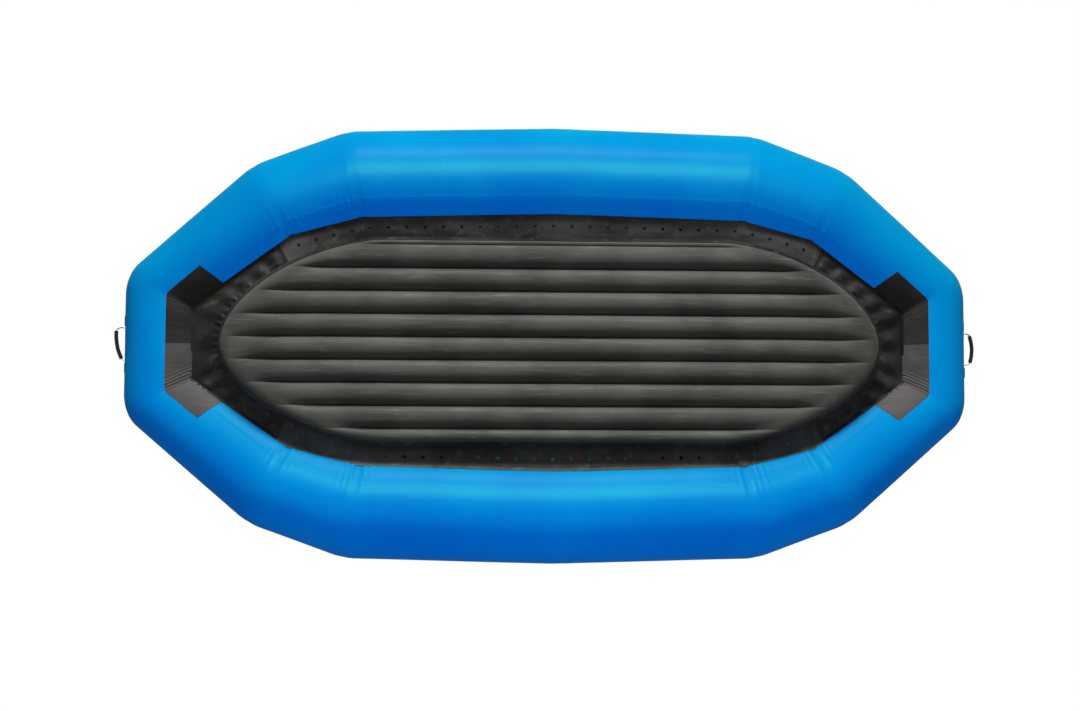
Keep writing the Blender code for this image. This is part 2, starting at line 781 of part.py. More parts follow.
def build_ring_patch(name, frame, end, side):
    # A disc of fabric that lies round the tube, with a keeper for the ring's straight bar
    reach = RING_PATCH_RADIUS / rings[1].centre.x
    span = RING_PATCH_RADIUS / SIDE_RADIUS
    stations = [RING_STATION - reach - OVERRUN, RING_STATION + reach + OVERRUN]
    low, high = RING_ANGLE - span - FACET, RING_ANGLE + span + FACET
    angles = facet_edges_between(low, high)
    rows = [[mirrored(tube_point(s, a, GLUE), end, side) for a in angles] for s in stations]
    patch = loft(name, rows, flip=end * side > 0)
    patch.data.transform(frame.inverted())
    patch.matrix_world = frame
    thicken(patch, RING_PATCH_FABRIC)
    disc = rods(f"{name}_outline", [Vector()], RING_PATCH_RADIUS, RING_PATCH_RADIUS, RING_PATCH_SIDES, frame)
    combine(patch, as_cutter(disc), "INTERSECT")
    half_length, half_width = KEEPER_LENGTH / 2, KEEPER_WIDTH / 2
    base = GLUE + RING_PATCH_FABRIC - KEEPER_SINK
    top = bar_height() + RING_WIRE + KEEPER_WALL
    keeper = box(f"{name}_keeper", (-half_length, -half_width, base), (half_length, half_width, top), frame)
    combine(patch, as_cutter(keeper), "UNION")
    lying = frame @ Matrix.Translation((0.0, 0.0, bar_height())) @ Matrix.Rotation(math.pi / 2, 4, "Y")
    bore = rods(f"{name}_bore", [Vector()], RING_WIRE + 2 * GAP, KEEPER_LENGTH + OVERRUN, KEEPER_BORE_SIDES, lying)
    combine(patch, as_cutter(bore))
    finish(patch, "webbing")


def build_ring(name, frame):
    # The D lies flat down the tube at rest and turns about its straight bar
    curve = bpy.data.curves.new(name, "CURVE")
    curve.dimensions = "3D"
    curve.bevel_depth = RING_WIRE
    curve.bevel_resolution = RING_SIDES_RESOLUTION
    half, drop = RING_WIDTH / 2, RING_DROP
    turns = [math.pi * k / RING_BOW_STEPS for k in range(RING_BOW_STEPS + 1)]
    bow = [(half * math.cos(a), half - drop - half * math.sin(a)) for a in turns]
    points = [(half, 0.0), *bow, (-half, 0.0)]
    line = curve.splines.new("POLY")
    line.points.add(len(points) - 1)
    for spot, (x, y) in zip(line.points, points):
        spot.co = (x, y, 0.0, 1.0)
    line.use_cyclic_u = True
    ring = bpy.data.objects.new(name, curve)
    parts.objects.link(ring)
    ring.matrix_world = frame @ Matrix.Translation((0.0, 0.0, bar_height()))
    finish(ring, "ring_steel")


def strap_path():
    # Half of the strap's middle line in the plane of the handle: distance from the middle, height
    half, top = HANDLE_SPAN / 2, HANDLE_REACH - GRIP_HEIGHT / 2
    return [(half, STRAP_WIDTH / 2 + GAP), (half, top - STRAP_ROUND), (half - STRAP_ROUND, top), (0.0, top)]


def build_handles():
    axis_height = STRAP_WIDTH / 2 + GAP
    for name, end in ENDS.items():
        frame = facet_frame(len(rings) - 1, HANDLE_ANGLE, end, 1)
        origin = Vector((0.0, 0.0, axis_height))
        rows = []
        for column in range(STRAP_COLUMNS + 1):
            turn = math.pi * (column / STRAP_COLUMNS - 0.5)
            across = STRAP_WIDTH / 2 * math.sin(turn)
            foot = (HANDLE_SPAN / 2, axis_height - STRAP_WIDTH / 2 * math.cos(turn))
            half = [foot, *strap_path()[1:-1]]
            line = half + [(-x, z) for x, z in half[::-1]]
            rows.append([Vector((x, across, z)) - origin for x, z in line])
        strap = loft(f"{name}_handle_strap", rows)
        strap.matrix_world = frame @ Matrix.Translation(origin)
        thicken(strap, STRAP_THICKNESS, offset=0.0)
        finish(strap, "webbing")
        build_grip(f"{name}_handle_grip", frame, origin)


def build_grip(name, frame, origin):
    middle = strap_path()[-1][1] - origin.z
    shape = bmesh.new()
    bmesh.ops.create_cone(
        shape, cap_ends=True, segments=GRIP_SIDES, radius1=0.5, radius2=0.5, depth=GRIP_LENGTH,
        matrix=Matrix.Rotation(math.pi / 2, 4, "Y"),
    )
    bmesh.ops.scale(shape, verts=shape.verts, vec=(1.0, GRIP_WIDTH, GRIP_HEIGHT))
    bmesh.ops.translate(shape, verts=shape.verts, vec=(0.0, 0.0, middle))
    grip = add_object(name, shape)
    grip.matrix_world = frame @ Matrix.Translation(origin)
    slot_half = Vector((GRIP_LENGTH, STRAP_WIDTH / 2 + GRIP_CLEAR, STRAP_THICKNESS / 2 + GRIP_CLEAR))
    centre = Vector((0.0, 0.0, middle))
    slot = box(f"{name}_slot", centre - slot_half, centre + slot_half, grip.matrix_world)
    combine(grip, as_cutter(slot))
    finish(grip, "grip_rubber")


for old in list(bpy.data.objects):
    bpy.data.objects.remove(old)

parts, cutters = collection(PARTS_NAME), collection(CUTTERS_NAME)
rings = tube_rings()
floor_width = 2 * (tube_point(0, BOTTOM - GLUE_ANGLES[0]).y - SKIRT_WIDTH)
floor_length = 2 * (tube_point(len(rings) - 1, BOTTOM - GLUE_ANGLES[-1]).x - END_SKIRT_WIDTH)
border = floor_border()
match_runs = skirt_runs()

tube_chambers = build_chambers()
build_chamber_valves(tube_chambers)
build_baffles()
floor_skins = build_floor()
build_webs()
build_floor_valves(floor_skins["floor_top_skin"])
build_side_skirts()
build_end_skirts()
build_wear_patches()
build_thwarts()
build_lashing_rings()
build_handles()
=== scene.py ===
# Looks of the self-bailing whitewater raft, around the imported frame. X runs from stern to bow,
# Y to port and Z up, in metres. The camera looks up at the raft's underside, as in the photograph.

import json
import math

import bpy
import numpy as np
from mathutils import Matrix, Vector, noise

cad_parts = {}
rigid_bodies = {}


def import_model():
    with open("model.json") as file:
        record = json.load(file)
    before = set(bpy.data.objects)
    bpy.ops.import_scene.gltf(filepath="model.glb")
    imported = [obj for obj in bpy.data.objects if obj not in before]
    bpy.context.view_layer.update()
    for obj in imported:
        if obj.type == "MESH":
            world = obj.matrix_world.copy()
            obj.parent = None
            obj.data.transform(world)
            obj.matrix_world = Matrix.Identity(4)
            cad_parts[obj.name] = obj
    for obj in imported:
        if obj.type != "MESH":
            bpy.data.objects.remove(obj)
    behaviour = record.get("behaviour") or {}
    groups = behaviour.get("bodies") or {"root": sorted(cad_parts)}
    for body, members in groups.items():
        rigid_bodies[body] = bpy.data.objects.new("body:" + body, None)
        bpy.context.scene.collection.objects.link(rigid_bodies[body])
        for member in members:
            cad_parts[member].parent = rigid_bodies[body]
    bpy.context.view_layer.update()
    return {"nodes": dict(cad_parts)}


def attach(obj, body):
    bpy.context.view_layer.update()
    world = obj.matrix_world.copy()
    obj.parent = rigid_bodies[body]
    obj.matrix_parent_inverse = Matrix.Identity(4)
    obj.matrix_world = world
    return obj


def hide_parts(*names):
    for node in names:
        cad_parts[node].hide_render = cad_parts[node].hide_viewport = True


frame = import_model()
ends = {"bow": 1, "stern": -1}
sides = {"port": 1, "starboard": -1}
corners = {f"{endName}_{sideName}": (end, side)
           for endName, end in ends.items() for sideName, side in sides.items()}


# View

view = {
    "place": (-0.369, 0.494, -7.0),
    "yaw": -2.48, "pitch": -3.47, "roll": 0.22,  # degrees
    "lens": 49.5,
}


def makeCamera():
    yaw, pitch, roll = (math.radians(view[k]) for k in ("yaw", "pitch", "roll"))
    turn = Matrix.Rotation(roll, 3, "Z") @ Matrix.Rotation(pitch, 3, "X") @ Matrix.Rotation(yaw, 3, "Y")
    right, down, ahead = turn  # rows: the picture's right, its lower edge and the way the camera looks
    bpy.ops.object.camera_add(location=view["place"])
    camera = bpy.context.object
    camera.name = "camera"
    camera.data.lens = view["lens"]
    camera.rotation_euler = Matrix((right, -down, -ahead)).transposed().to_euler()
    bpy.context.scene.camera = camera


makeCamera()
print("camera made")


# Shader maths

class Flow:
    # A socket with arithmetic: an expression on flows and numbers adds the nodes that work it out
    def __init__(self, tree, socket):
        self.tree, self.socket = tree, socket

    def node(self, kind, settings=None, output=0, **sockets):
        # Settings come first, then a value or flow for each socket, by its name or as i0, i1 and so on
        made = self.tree.nodes.new(kind)
        for key, value in (settings or {}).items():
            setattr(made, key, value)
        for key, value in sockets.items():
            target = made.inputs[int(key[1:])] if key[1:].isdigit() else made.inputs[key.replace("_", " ")]
            if isinstance(value, Flow):
                self.tree.links.new(value.socket, target)
            else:
                target.default_value = value
        return Flow(self.tree, made.outputs[output])

    def maths(self, operation, first, second=0.0):
        return self.node("ShaderNodeMath", {"operation": operation}, i0=first, i1=second)

    def __add__(self, other): return self.maths("ADD", self, other)
    def __radd__(self, other): return self.maths("ADD", other, self)
    def __sub__(self, other): return self.maths("SUBTRACT", self, other)
    def __rsub__(self, other): return self.maths("SUBTRACT", other, self)
    def __mul__(self, other): return self.maths("MULTIPLY", self, other)
    def __rmul__(self, other): return self.maths("MULTIPLY", other, self)

    def most(self, other): return self.maths("MAXIMUM", self, other)
    def sine(self): return self.maths("SINE", self)

    def between(self, low, high, start=0.0, stop=1.0):
        # Eases from start to stop as this flow goes from low to high
        settings = {"interpolation_type": "SMOOTHSTEP"}
        return self.node("ShaderNodeMapRange", settings, i0=self, i1=low, i2=high, i3=start, i4=stop)

    def blend(self, first, second):
        # A colour between two, by this flow as the share
        first, second = [(*c, 1.0) if isinstance(c, tuple) else c for c in (first, second)]
        settings = {"data_type": "RGBA"}
        return self.node("ShaderNodeMix", settings, output=2, i0=self, i6=first, i7=second)

    def cloud(self, scale, detail=3.0, rough=0.5, stretch=(1.0, 1.0, 1.0)):
        moved = self.node("ShaderNodeMapping", Vector=self, Scale=stretch)
        return self.node("ShaderNodeTexNoise", Vector=moved, Scale=scale, Detail=detail, Roughness=rough)

    def part(self, axis):
        return self.node("ShaderNodeSeparateXYZ", output="XYZ".index(axis), i0=self)


def srgb(*channels):
    return tuple(c / 255 / 12.92 if c <= 10 else ((c / 255 + 0.055) / 1.055) ** 2.4 for c in channels)


def newMaterial(name):
    # The material, its shader, and Object coordinates and the UV map to draw its patterns from
    material = bpy.data.materials.new(name)
    material.use_nodes = True
    tree = material.node_tree
    spots = tree.nodes.new("ShaderNodeTexCoord").outputs
    return material, tree.nodes["Principled BSDF"], Flow(tree, spots["Object"]), Flow(tree, spots["UV"])


def connect(flow, shader, socket):
    flow.tree.links.new(flow.socket, shader.inputs[socket])


# Light, world and stage

light = {
    "worldFill": (0.88, 0.92, 1.0), "fillStrength": 0.12, "middle": (0.0, 0.0, 0.3),
    "lamps": {  # angle 0 is straight below the raft, 90 is level on the starboard side, 180 is overhead
        "key": dict(angle=63.0, reach=25.0, wide=10.0, deep=4.0, power=6100.0, colour=(1.0, 1.0, 0.98)),
        "streak": dict(angle=30.0, reach=12.0, wide=9.0, deep=4.5, power=17000.0, colour=(0.14, 1.0, 0.12)),
        "overhead": dict(angle=158.0, reach=7.0, wide=4.5, deep=3.0, power=440.0, colour=(1.0, 1.0, 1.0)),
        "overheadFill": dict(angle=192.0, reach=8.0, wide=5.0, deep=3.0, power=150.0,
                             colour=(0.92, 0.96, 1.0)),
        "blueGlow": dict(angle=-30.0, reach=9.0, wide=6.0, deep=4.0, power=560.0, colour=(0.0, 0.32, 1.0)),
        "blueRim": dict(angle=82.0, reach=9.0, wide=6.0, deep=4.0, power=130.0, colour=(0.0, 0.20, 1.0)),
    },
    "tubesOnly": ("streak", "blueGlow", "blueRim"),
    "tubePieces": ("tube_", "girth_tape_", "thwart_", "handle_foot_"),
}
stage = {
    "size": 60.0, "level": -0.0005, "grain": 0.8, "grey": (0.78, 0.79, 0.80), "pale": (0.82, 0.82, 0.82),
    "roughness": 0.7, "specular": 0.1,
}


def makeLamp(name, angle, reach, wide, deep, power, colour):
    turn, along = math.radians(angle), Vector((1, 0, 0))
    away = Vector((0.0, -math.sin(turn), -math.cos(turn)))
    bpy.ops.object.light_add(type="AREA", location=Vector(light["middle"]) + away * reach)
    lamp = bpy.context.object
    lamp.name = name
    lamp.data.shape = "RECTANGLE"
    lamp.data.size, lamp.data.size_y = wide, deep
    lamp.data.energy, lamp.data.color = power, colour
    lamp.rotation_euler = Matrix((along, away.cross(along), away)).transposed().to_euler()
    lamp.visible_camera = False
    return lamp


def makeWorld():
    # White where the camera, a gloss or a clear piece looks at it, and a faint cool fill on the object
    world = bpy.data.worlds.new("studio")
    bpy.context.scene.world = world
    world.use_nodes = True
    tree = world.node_tree
    rays = tree.nodes.new("ShaderNodeLightPath").outputs
    camera, glossy, clear = [Flow(tree, rays[f"Is {kind} Ray"])
                             for kind in ("Camera", "Glossy", "Transmission")]
    seen = camera.most(glossy).most(clear)
    background = tree.nodes["Background"]
    connect(seen.blend(light["worldFill"], (1.0, 1.0, 1.0)), background, "Color")
    connect(seen.between(0.0, 1.0, light["fillStrength"], 1.0), background, "Strength")


def makeStage():
    # The floor shows from above alone: the camera and the lower lamps look through it
    bpy.ops.mesh.primitive_plane_add(size=stage["size"], location=(0.0, 0.0, stage["level"]))
    ground = bpy.context.object
    ground.name = "studio_floor"
    material, shader, place, _ = newMaterial("pale_floor")
    tree = material.node_tree
    grain = place.cloud(stage["grain"]).between(0.3, 0.7)
    connect(grain.blend(stage["grey"], stage["pale"]), shader, "Base Color")
    shader.inputs["Roughness"].default_value = stage["roughness"]
    shader.inputs["Specular IOR Level"].default_value = stage["specular"]
    back = place.node("ShaderNodeNewGeometry", output="Backfacing")
    camera = place.node("ShaderNodeLightPath", output="Is Camera Ray")
    clear = place.node("ShaderNodeBsdfTransparent")
    solid = Flow(tree, shader.outputs[0])
    mixed = place.node("ShaderNodeMixShader", i0=camera * (1 - back), i1=clear, i2=solid)
    connect(mixed, tree.nodes["Material Output"], "Surface")
    ground.data.materials.append(material)


makeWorld()
makeStage()
lamps = {name: makeLamp(name + "_lamp", **values) for name, values in light["lamps"].items()}
lamps["streak"].visible_diffuse = False  # it draws the highlight alone
bpy.context.scene.view_settings.view_transform = "Standard"
print("world, stage and lamps made")


# Materials

threads = 1400.0  # how fast the weave's waves turn, in radians a metre
tubeLook = {
    "blue": srgb(1, 159, 203), "deep": srgb(0, 146, 199), "scuff": srgb(34, 172, 212),
    "mottle": 1.6, "scuffScale": 9.0, "scuffStretch": (0.35, 4.0, 1.0), "scuffShare": 0.35,
    "fine": 60.0, "fineStretch": (0.3, 3.0, 1.0), "ripple": 16.0, "rippleStretch": (0.25, 2.0, 1.0),
    "roughness": 0.33, "coat": 0.045, "bump": (0.5, 0.0012),
}
clothLooks = {
    "floor_fabric": {
        "grey": srgb(103, 103, 98), "dark": srgb(84, 84, 80), "streak": srgb(128, 126, 118),
        "roughness": 0.44, "specular": 0.08, "scale": 22.0, "stretch": (0.22, 3.0, 1.0)},
    "skirt_fabric": {
        "grey": srgb(108, 106, 102), "dark": srgb(78, 76, 74), "streak": srgb(134, 129, 121),
        "roughness": 0.50, "specular": 0.07, "scale": 14.0, "stretch": (1.0, 1.0, 1.0)},
    # The skirt cloth again, made much darker for the end skirts and the floor's rim: painted shade, not a
    # different cloth
    "end_skirt_fabric": {
        "grey": srgb(58, 56, 54), "dark": srgb(34, 33, 32), "streak": srgb(98, 93, 85),
        "roughness": 0.46, "specular": 0.09, "scale": 14.0, "stretch": (1.0, 1.0, 1.0)},
}
patchLooks = {
    # One wear cloth in two copies: darker for the starboard panels as painted shade, paler for the port
    # panels as painted light
    "wear_fabric_upper": {
        "grey": srgb(64, 64, 63), "dark": srgb(48, 47, 46), "pale": srgb(92, 90, 86)},
    "wear_fabric_lower": {
        "grey": srgb(105, 104, 102), "dark": srgb(90, 89, 87), "pale": srgb(134, 130, 125)},
}
patchFinish = {
    "roughness": 0.5, "specular": 0.08, "bump": (0.5, 0.0012),
    "stripes": 393.0, "wander": 0.004, "paleShare": 0.55,
}
fittingLooks = {
    "valve_plastic": dict(grey=srgb(40, 41, 43), dark=srgb(28, 29, 31), roughness=0.42, specular=0.4),
    "stem_plastic": dict(grey=srgb(200, 202, 204), dark=srgb(176, 178, 181), roughness=0.38, specular=0.45),
    "grip_rubber": dict(grey=srgb(34, 34, 35), dark=srgb(20, 20, 21), roughness=0.62, specular=0.25),
    "baffle_fabric": dict(grey=srgb(158, 158, 153), dark=srgb(138, 138, 133), roughness=0.6, specular=0.2),
    "web_fabric": dict(grey=srgb(98, 98, 95), dark=srgb(78, 78, 76), roughness=0.7, specular=0.15),
}
fittingGrain = {"scale": 900.0, "mottle": 0.08, "bump": (0.35, 0.0003)}
webbingLook = {
    "black": srgb(17, 17, 19), "grey": srgb(44, 44, 46), "ribs": 2600.0, "slant": 500.0, "slantBy": 2.4,
    "rough": (0.70, 0.86), "specular": 0.15, "bump": (0.6, 0.0004),
}
steelLook = {
    "grey": srgb(176, 178, 181), "pale": srgb(206, 208, 210), "scratches": 420.0, "stretch": (1.0, 0.2, 1.0),
    "rough": (0.20, 0.36), "bump": (0.2, 0.0001),
}


def finishWith(shader, colour, rough, height, bump, specular=0.5):
    # bump is its strength and its depth
    strength, depth = bump
    connect(colour, shader, "Base Color")
    connect(rough, shader, "Roughness")
    connect(height.node("ShaderNodeBump", Strength=strength, Distance=depth, Height=height), shader, "Normal")
    shader.inputs["Specular IOR Level"].default_value = specular


def weave(uv):
    # Crossed threads under the coating, from a UV map in metres
    return (uv.part("X") * threads).sine() * (uv.part("Y") * threads).sine()


def makeTubeFabric():
    look = tubeLook
    material, shader, place, uv = newMaterial("tube_fabric")
    colour = place.cloud(look["mottle"], 4.0).between(0.35, 0.65).blend(look["deep"], look["blue"])
    scuffs = uv.cloud(look["scuffScale"], 5.0, 0.6, look["scuffStretch"])
    colour = (scuffs.between(0.60, 0.78) * look["scuffShare"]).blend(colour, look["scuff"])
    fine = uv.cloud(look["fine"], 4.0, 0.6, look["fineStretch"])
    rough = fine.between(0.3, 0.7, look["roughness"] - 0.05, look["roughness"] + 0.07)
    height = weave(uv) * 0.05 + uv.cloud(look["ripple"], 4.0, 0.5, look["rippleStretch"])
    finishWith(shader, colour, rough, height, look["bump"], specular=0.0)
    shader.inputs["Coat Weight"].default_value = look["coat"]
    shader.inputs["Coat Roughness"].default_value = look["roughness"]
    return material


def makeDarkCloth(name, look):
    # Coated cloth with pale scuffs, which are smoother than the rest
    material, shader, place, uv = newMaterial(name)
    colour = place.cloud(3.0, 4.0).between(0.35, 0.65).blend(look["dark"], look["grey"])
    streaks = uv.cloud(look["scale"], 5.0, 0.6, look["stretch"])
    colour = (streaks.between(0.52, 0.74) * 0.7).blend(colour, look["streak"])
    rough = streaks.between(0.3, 0.7, look["roughness"] + 0.08, look["roughness"] - 0.05)
    finishWith(shader, colour, rough, weave(uv) * 0.05 + streaks, (0.5, 0.0015), look["specular"])
    return material


def makePatchCloth(name, look):
    # Glued reinforcement: fine stripes beside the mitred corners, by the piece's own attribute
    material, shader, place, uv = newMaterial(name)
    fan = place.node("ShaderNodeAttribute", {"attribute_name": "fan"}, output="Vector")
    off, near = fan.part("X"), fan.part("Y")
    wander = place.cloud(14.0, 3.0)
    waves = ((off + wander * patchFinish["wander"]) * patchFinish["stripes"]).sine()
    stripes = waves.between(0.0, 1.0) * near
    brushed = place.cloud(30.0, 4.0, 0.6, (0.15, 2.5, 1.0))
    mottle = (place.cloud(7.0, 5.0) * 0.6 + brushed * 0.4).between(0.35, 0.65)
    colour = mottle.blend(look["dark"], look["grey"])
    colour = (stripes * patchFinish["paleShare"]).blend(colour, look["pale"])
    rough = wander.between(0.3, 0.7, patchFinish["roughness"] - 0.06, patchFinish["roughness"] + 0.08)
    height = stripes + weave(uv) * 0.08 + brushed * 0.6
    finishWith(shader, colour, rough, height, patchFinish["bump"], patchFinish["specular"])
    return material


def makeFitting(name, look):
    # Moulded plastic, rubber or plain cloth: two tones of mottle over a fine grain
    material, shader, place, _ = newMaterial(name)
    mottle = place.cloud(fittingGrain["scale"] * fittingGrain["mottle"], 4.0)
    grain = place.cloud(fittingGrain["scale"], 5.0, 0.65)
    colour = (mottle * 0.7 + grain * 0.3).between(0.35, 0.65).blend(look["dark"], look["grey"])
    rough = grain.between(0.3, 0.7, look["roughness"] - 0.08, look["roughness"] + 0.10)
    finishWith(shader, colour, rough, grain, fittingGrain["bump"], look["specular"])
    return material


def makeWebbing():
    # Woven strap: a herringbone of ribs from the UV map in metres
    look = webbingLook
    material, shader, place, uv = newMaterial("webbing")
    slant = (uv.part("X") * look["slant"]).sine() * look["slantBy"]
    ribs = (uv.part("Y") * look["ribs"] + slant).sine()
    wear = place.cloud(60.0, 4.0)
    colour = (ribs.between(-1.0, 1.0) * 0.6 + wear * 0.4).between(0.2, 0.8).blend(look["black"], look["grey"])
    finishWith(shader, colour, wear.between(0.3, 0.7, *look["rough"]), ribs + wear * 0.5, look["bump"],
               look["specular"])
    return material


def makeSteel():
    look = steelLook
    material, shader, place, _ = newMaterial("ring_steel")
    scratches = place.cloud(look["scratches"], 4.0, 0.6, look["stretch"])
    shares = scratches.between(0.3, 0.7)
    finishWith(shader, shares.blend(look["grey"], look["pale"]), scratches.between(0.3, 0.7, *look["rough"]),
               scratches, look["bump"])
    shader.inputs["Metallic"].default_value = 1.0
    return material


fabrics = {
    "webbing": makeWebbing(), "ring_steel": makeSteel(),
    **{name: makeFitting(name, look) for name, look in fittingLooks.items()},
    "tube_fabric": makeTubeFabric(),
    **{name: makeDarkCloth(name, look) for name, look in clothLooks.items()},
    **{name: makePatchCloth(name, look) for name, look in patchLooks.items()},
}
print("fabrics mixed")


# Tools for cloth pieces

def pick(*pieces):
    # Select these pieces alone, the first one active
    bpy.ops.object.select_all(action="DESELECT")
    for piece in pieces:
        piece.select_set(True)
    if pieces:
        bpy.context.view_layer.objects.active = pieces[0]


def clothGrid(name, us, vs, place, wall, uvSize, flip=False, closed=False, offset=-1.0, marks=None):
    # A grid of fabric, laid point by point where place(u, v) says, then given its wall.
    # us and vs are its lines across and along, uvSize turns them to metres, and marks(u, v) gives
    # the "fan" attribute that a material reads
    pick()
    bpy.ops.mesh.primitive_grid_add(x_subdivisions=len(us) - 1, y_subdivisions=len(vs) - 1, size=1.0)
    piece = bpy.context.object
    piece.name = piece.data.name = name
    mesh = piece.data
    flat = np.zeros(len(mesh.vertices) * 3)
    mesh.vertices.foreach_get("co", flat)
    flat = flat.reshape(-1, 3)
    columns = np.rint((flat[:, 0] + 0.5) * (len(us) - 1)).astype(int)
    rows = np.rint((flat[:, 1] + 0.5) * (len(vs) - 1)).astype(int)
    u, v = np.asarray(us)[columns], np.asarray(vs)[rows]
    mesh.vertices.foreach_set("co", place(u, v).astype(np.float32).ravel())
    if marks:
        fan = mesh.attributes.new("fan", "FLOAT_VECTOR", "POINT")
        fan.data.foreach_set("vector", marks(u, v).astype(np.float32).ravel())
    loops = np.zeros(len(mesh.loops), int)
    mesh.loops.foreach_get("vertex_index", loops)
    uv = np.stack([u * uvSize[0], v * uvSize[1]], 1)[loops]
    mesh.uv_layers[0].data.foreach_set("uv", uv.astype(np.float32).ravel())
    bpy.ops.object.mode_set(mode="EDIT")
    bpy.ops.mesh.select_all(action="SELECT")
    if closed:
        bpy.ops.mesh.remove_doubles(threshold=0.00002)
    if flip:
        bpy.ops.mesh.flip_normals()
    bpy.ops.object.mode_set(mode="OBJECT")
    if wall:
        addWall(piece, wall, offset)
    bpy.ops.object.shade_smooth_by_angle(angle=math.radians(40.0))
    return piece


def addWall(piece, wall, offset):
    solid = piece.modifiers.new("wall", "SOLIDIFY")
    solid.thickness, solid.offset = wall, offset
    solid.use_even_offset = True
    bpy.ops.object.modifier_apply(modifier=solid.name)


def dress(piece, finish, *nodes, slot=None, body="raft"):
    slot = slot or finish
    piece.data.materials.clear()
    piece.data.materials.append(fabrics[finish])
    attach(piece, body)
    if nodes:
        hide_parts(*nodes)
    return piece


def even(start, stop, step):
    return np.linspace(start, stop, max(2, int(math.ceil(abs(stop - start) / step)) + 1))


def ease(share):
    share = np.clip(share, 0.0, 1.0)
    return share * share * (3 - 2 * share)


def wobble(*axes):
    # Smooth noise from -1 to 1 at each point, given as two or three lists of coordinates
    axes = [np.broadcast_to(np.asarray(a, float), np.shape(axes[0])) for a in axes]
    points = np.stack(axes, -1).reshape(-1, len(axes)).tolist()
    return np.array([noise.noise(Vector((*p, 0.0)[:3])) for p in points]).reshape(np.shape(axes[0]))


def runAlong(points):
    # How far along a line each of its points is
    steps = np.diff(points, axis=0)
    return np.concatenate([[0.0], np.cumsum(np.sqrt((steps ** 2).sum(-1)))])


def mirrored(points, end, side):
    # From the bow's port quarter to the quarter at this end and side
    return points * np.array((end, side, 1.0))


# Tube ring

tube = {
    "bends": [  # outer line in plan, radius and rise, from the middle of a side to the middle of an end
        (0.0, 1.067, 0.267, 0.0), (1.0, 1.041, 0.267, 0.0), (1.466, 0.876, 0.255, 0.055),
        (2.114, 0.352, 0.235, 0.250), (2.114, 0.0, 0.235, 0.250)],
    "rounding": (0.0, 0.055, 0.060, 0.075, 0.0),  # how far before and after each bend it rounds off
    "roundingInside": 0.25,  # the share of it left on the ring's inner side
    "pleat": (0.0, 0.0034, 0.0036, 0.0015, 0.0), "pleatReach": 0.10, "pleatPitch": 0.034, "crease": 0.016,
    "wall": 0.0012, "panelSeam": math.radians(-110.0), "panelLap": 0.0006, "lapHalf": 0.004,
    "uneven": 0.0016, "sunk": 0.0009, "around": 112, "seamGap": (0.00003, 0.0001),
    "nearBend": 0.14, "stepNear": 0.008, "stepFar": 0.045, "uvAlong": 0.62,
}
tape = {"low": 0.062, "high": 0.096, "step": 0.006, "lift": 0.0011, "uneven": 0.0002, "wall": 0.0008}


class Section:
    # The tube ring cut at a bend, in the plane that halves the turn
    def __init__(self, before, here, after, radius, rise):
        runIn, runOn = (here - before).normalized(), (after - here).normalized()
        along = (runIn + runOn).normalized()
        self.out = np.array((-along.y, along.x))
        self.stretch = 1 / runIn.dot(along)
        self.radius, self.height = radius, rise + radius
        self.centre = np.array(here) - self.out * radius * self.stretch

    def point(self, angle, lift):
        reach = self.radius + lift
        side = reach * np.cos(angle) * self.stretch
        up = self.height + reach * np.sin(angle)
        return np.stack([self.centre[0] + self.out[0] * side, self.centre[1] + self.out[1] * side, up], -1)


def tubeSections():
    bends = tube["bends"]
    path = [Vector(b[:2]) for b in bends]
    path = [Vector((-path[1].x, path[1].y)), *path, Vector((path[-2].x, -path[-2].y))]
    return [Section(*path[k:k + 3], *bend[2:]) for k, bend in enumerate(bends)]


sections = tubeSections()
lengths = [float(np.linalg.norm(b.centre - a.centre)) for a, b in zip(sections, sections[1:])]
lastStation = len(sections) - 1


def pastBend(station, bend):
    # How far along the tube a station is from a bend, negative before it
    return (station - bend) * np.where(station < bend, lengths[bend - 1], lengths[bend])


def tubePoint(station, angle, lift=0.0):
    # Point on the tube's fabric: straight between sections, rounded off at each bend
    station, angle, lift = np.broadcast_arrays(*[np.asarray(a, float) for a in (station, angle, lift)])
    rings = np.stack([s.point(angle, lift) for s in sections])
    first = np.clip(np.floor(station).astype(int), 0, lastStation - 1)
    share = (station - first)[..., None]
    spots = np.indices(first.shape)
    start, stop = rings[(first, *spots)], rings[(first + 1, *spots)]
    place = start + (stop - start) * share
    inside = tube["roundingInside"]
    for bend in range(1, lastStation):
        half = tube["rounding"][bend] * (inside + (1 - inside) * np.clip(np.cos(angle), 0.0, 1.0))
        off = pastBend(station, bend)
        t = np.clip((off + half) / (2 * half), 0.0, 1.0)[..., None]
        before = rings[bend] + (rings[bend - 1] - rings[bend]) * (half / lengths[bend - 1])[..., None]
        after = rings[bend] + (rings[bend + 1] - rings[bend]) * (half / lengths[bend])[..., None]
        curve = (1 - t) ** 2 * before + 2 * t * (1 - t) * rings[bend] + t ** 2 * after
        place = np.where((np.abs(off) < half)[..., None], curve, place)
    return place


def pleats(station, angle):
    # Fabric gathers in short ridges on the inner side of each bend, and sinks a little on the bend
    inner = np.clip((0.30 - np.cos(angle)) / 1.3, 0.0, 1.0) ** 1.2
    lift = np.zeros_like(station)
    for bend in range(1, lastStation):
        off, high = pastBend(station, bend), tube["pleat"][bend]
        near = np.exp(-(off / tube["pleatReach"]) ** 2)
        spread = wobble(angle * 1.3, off * 6.0, station * 0 + bend)
        ridge = np.cos(off * math.tau / tube["pleatPitch"] + spread * 2.5) * (0.55 + 0.45 * spread)
        lift += high * near * inner * ridge
        lift -= high * 1.4 * np.exp(-(off / tube["crease"]) ** 2) * (0.25 + inner)
    return lift


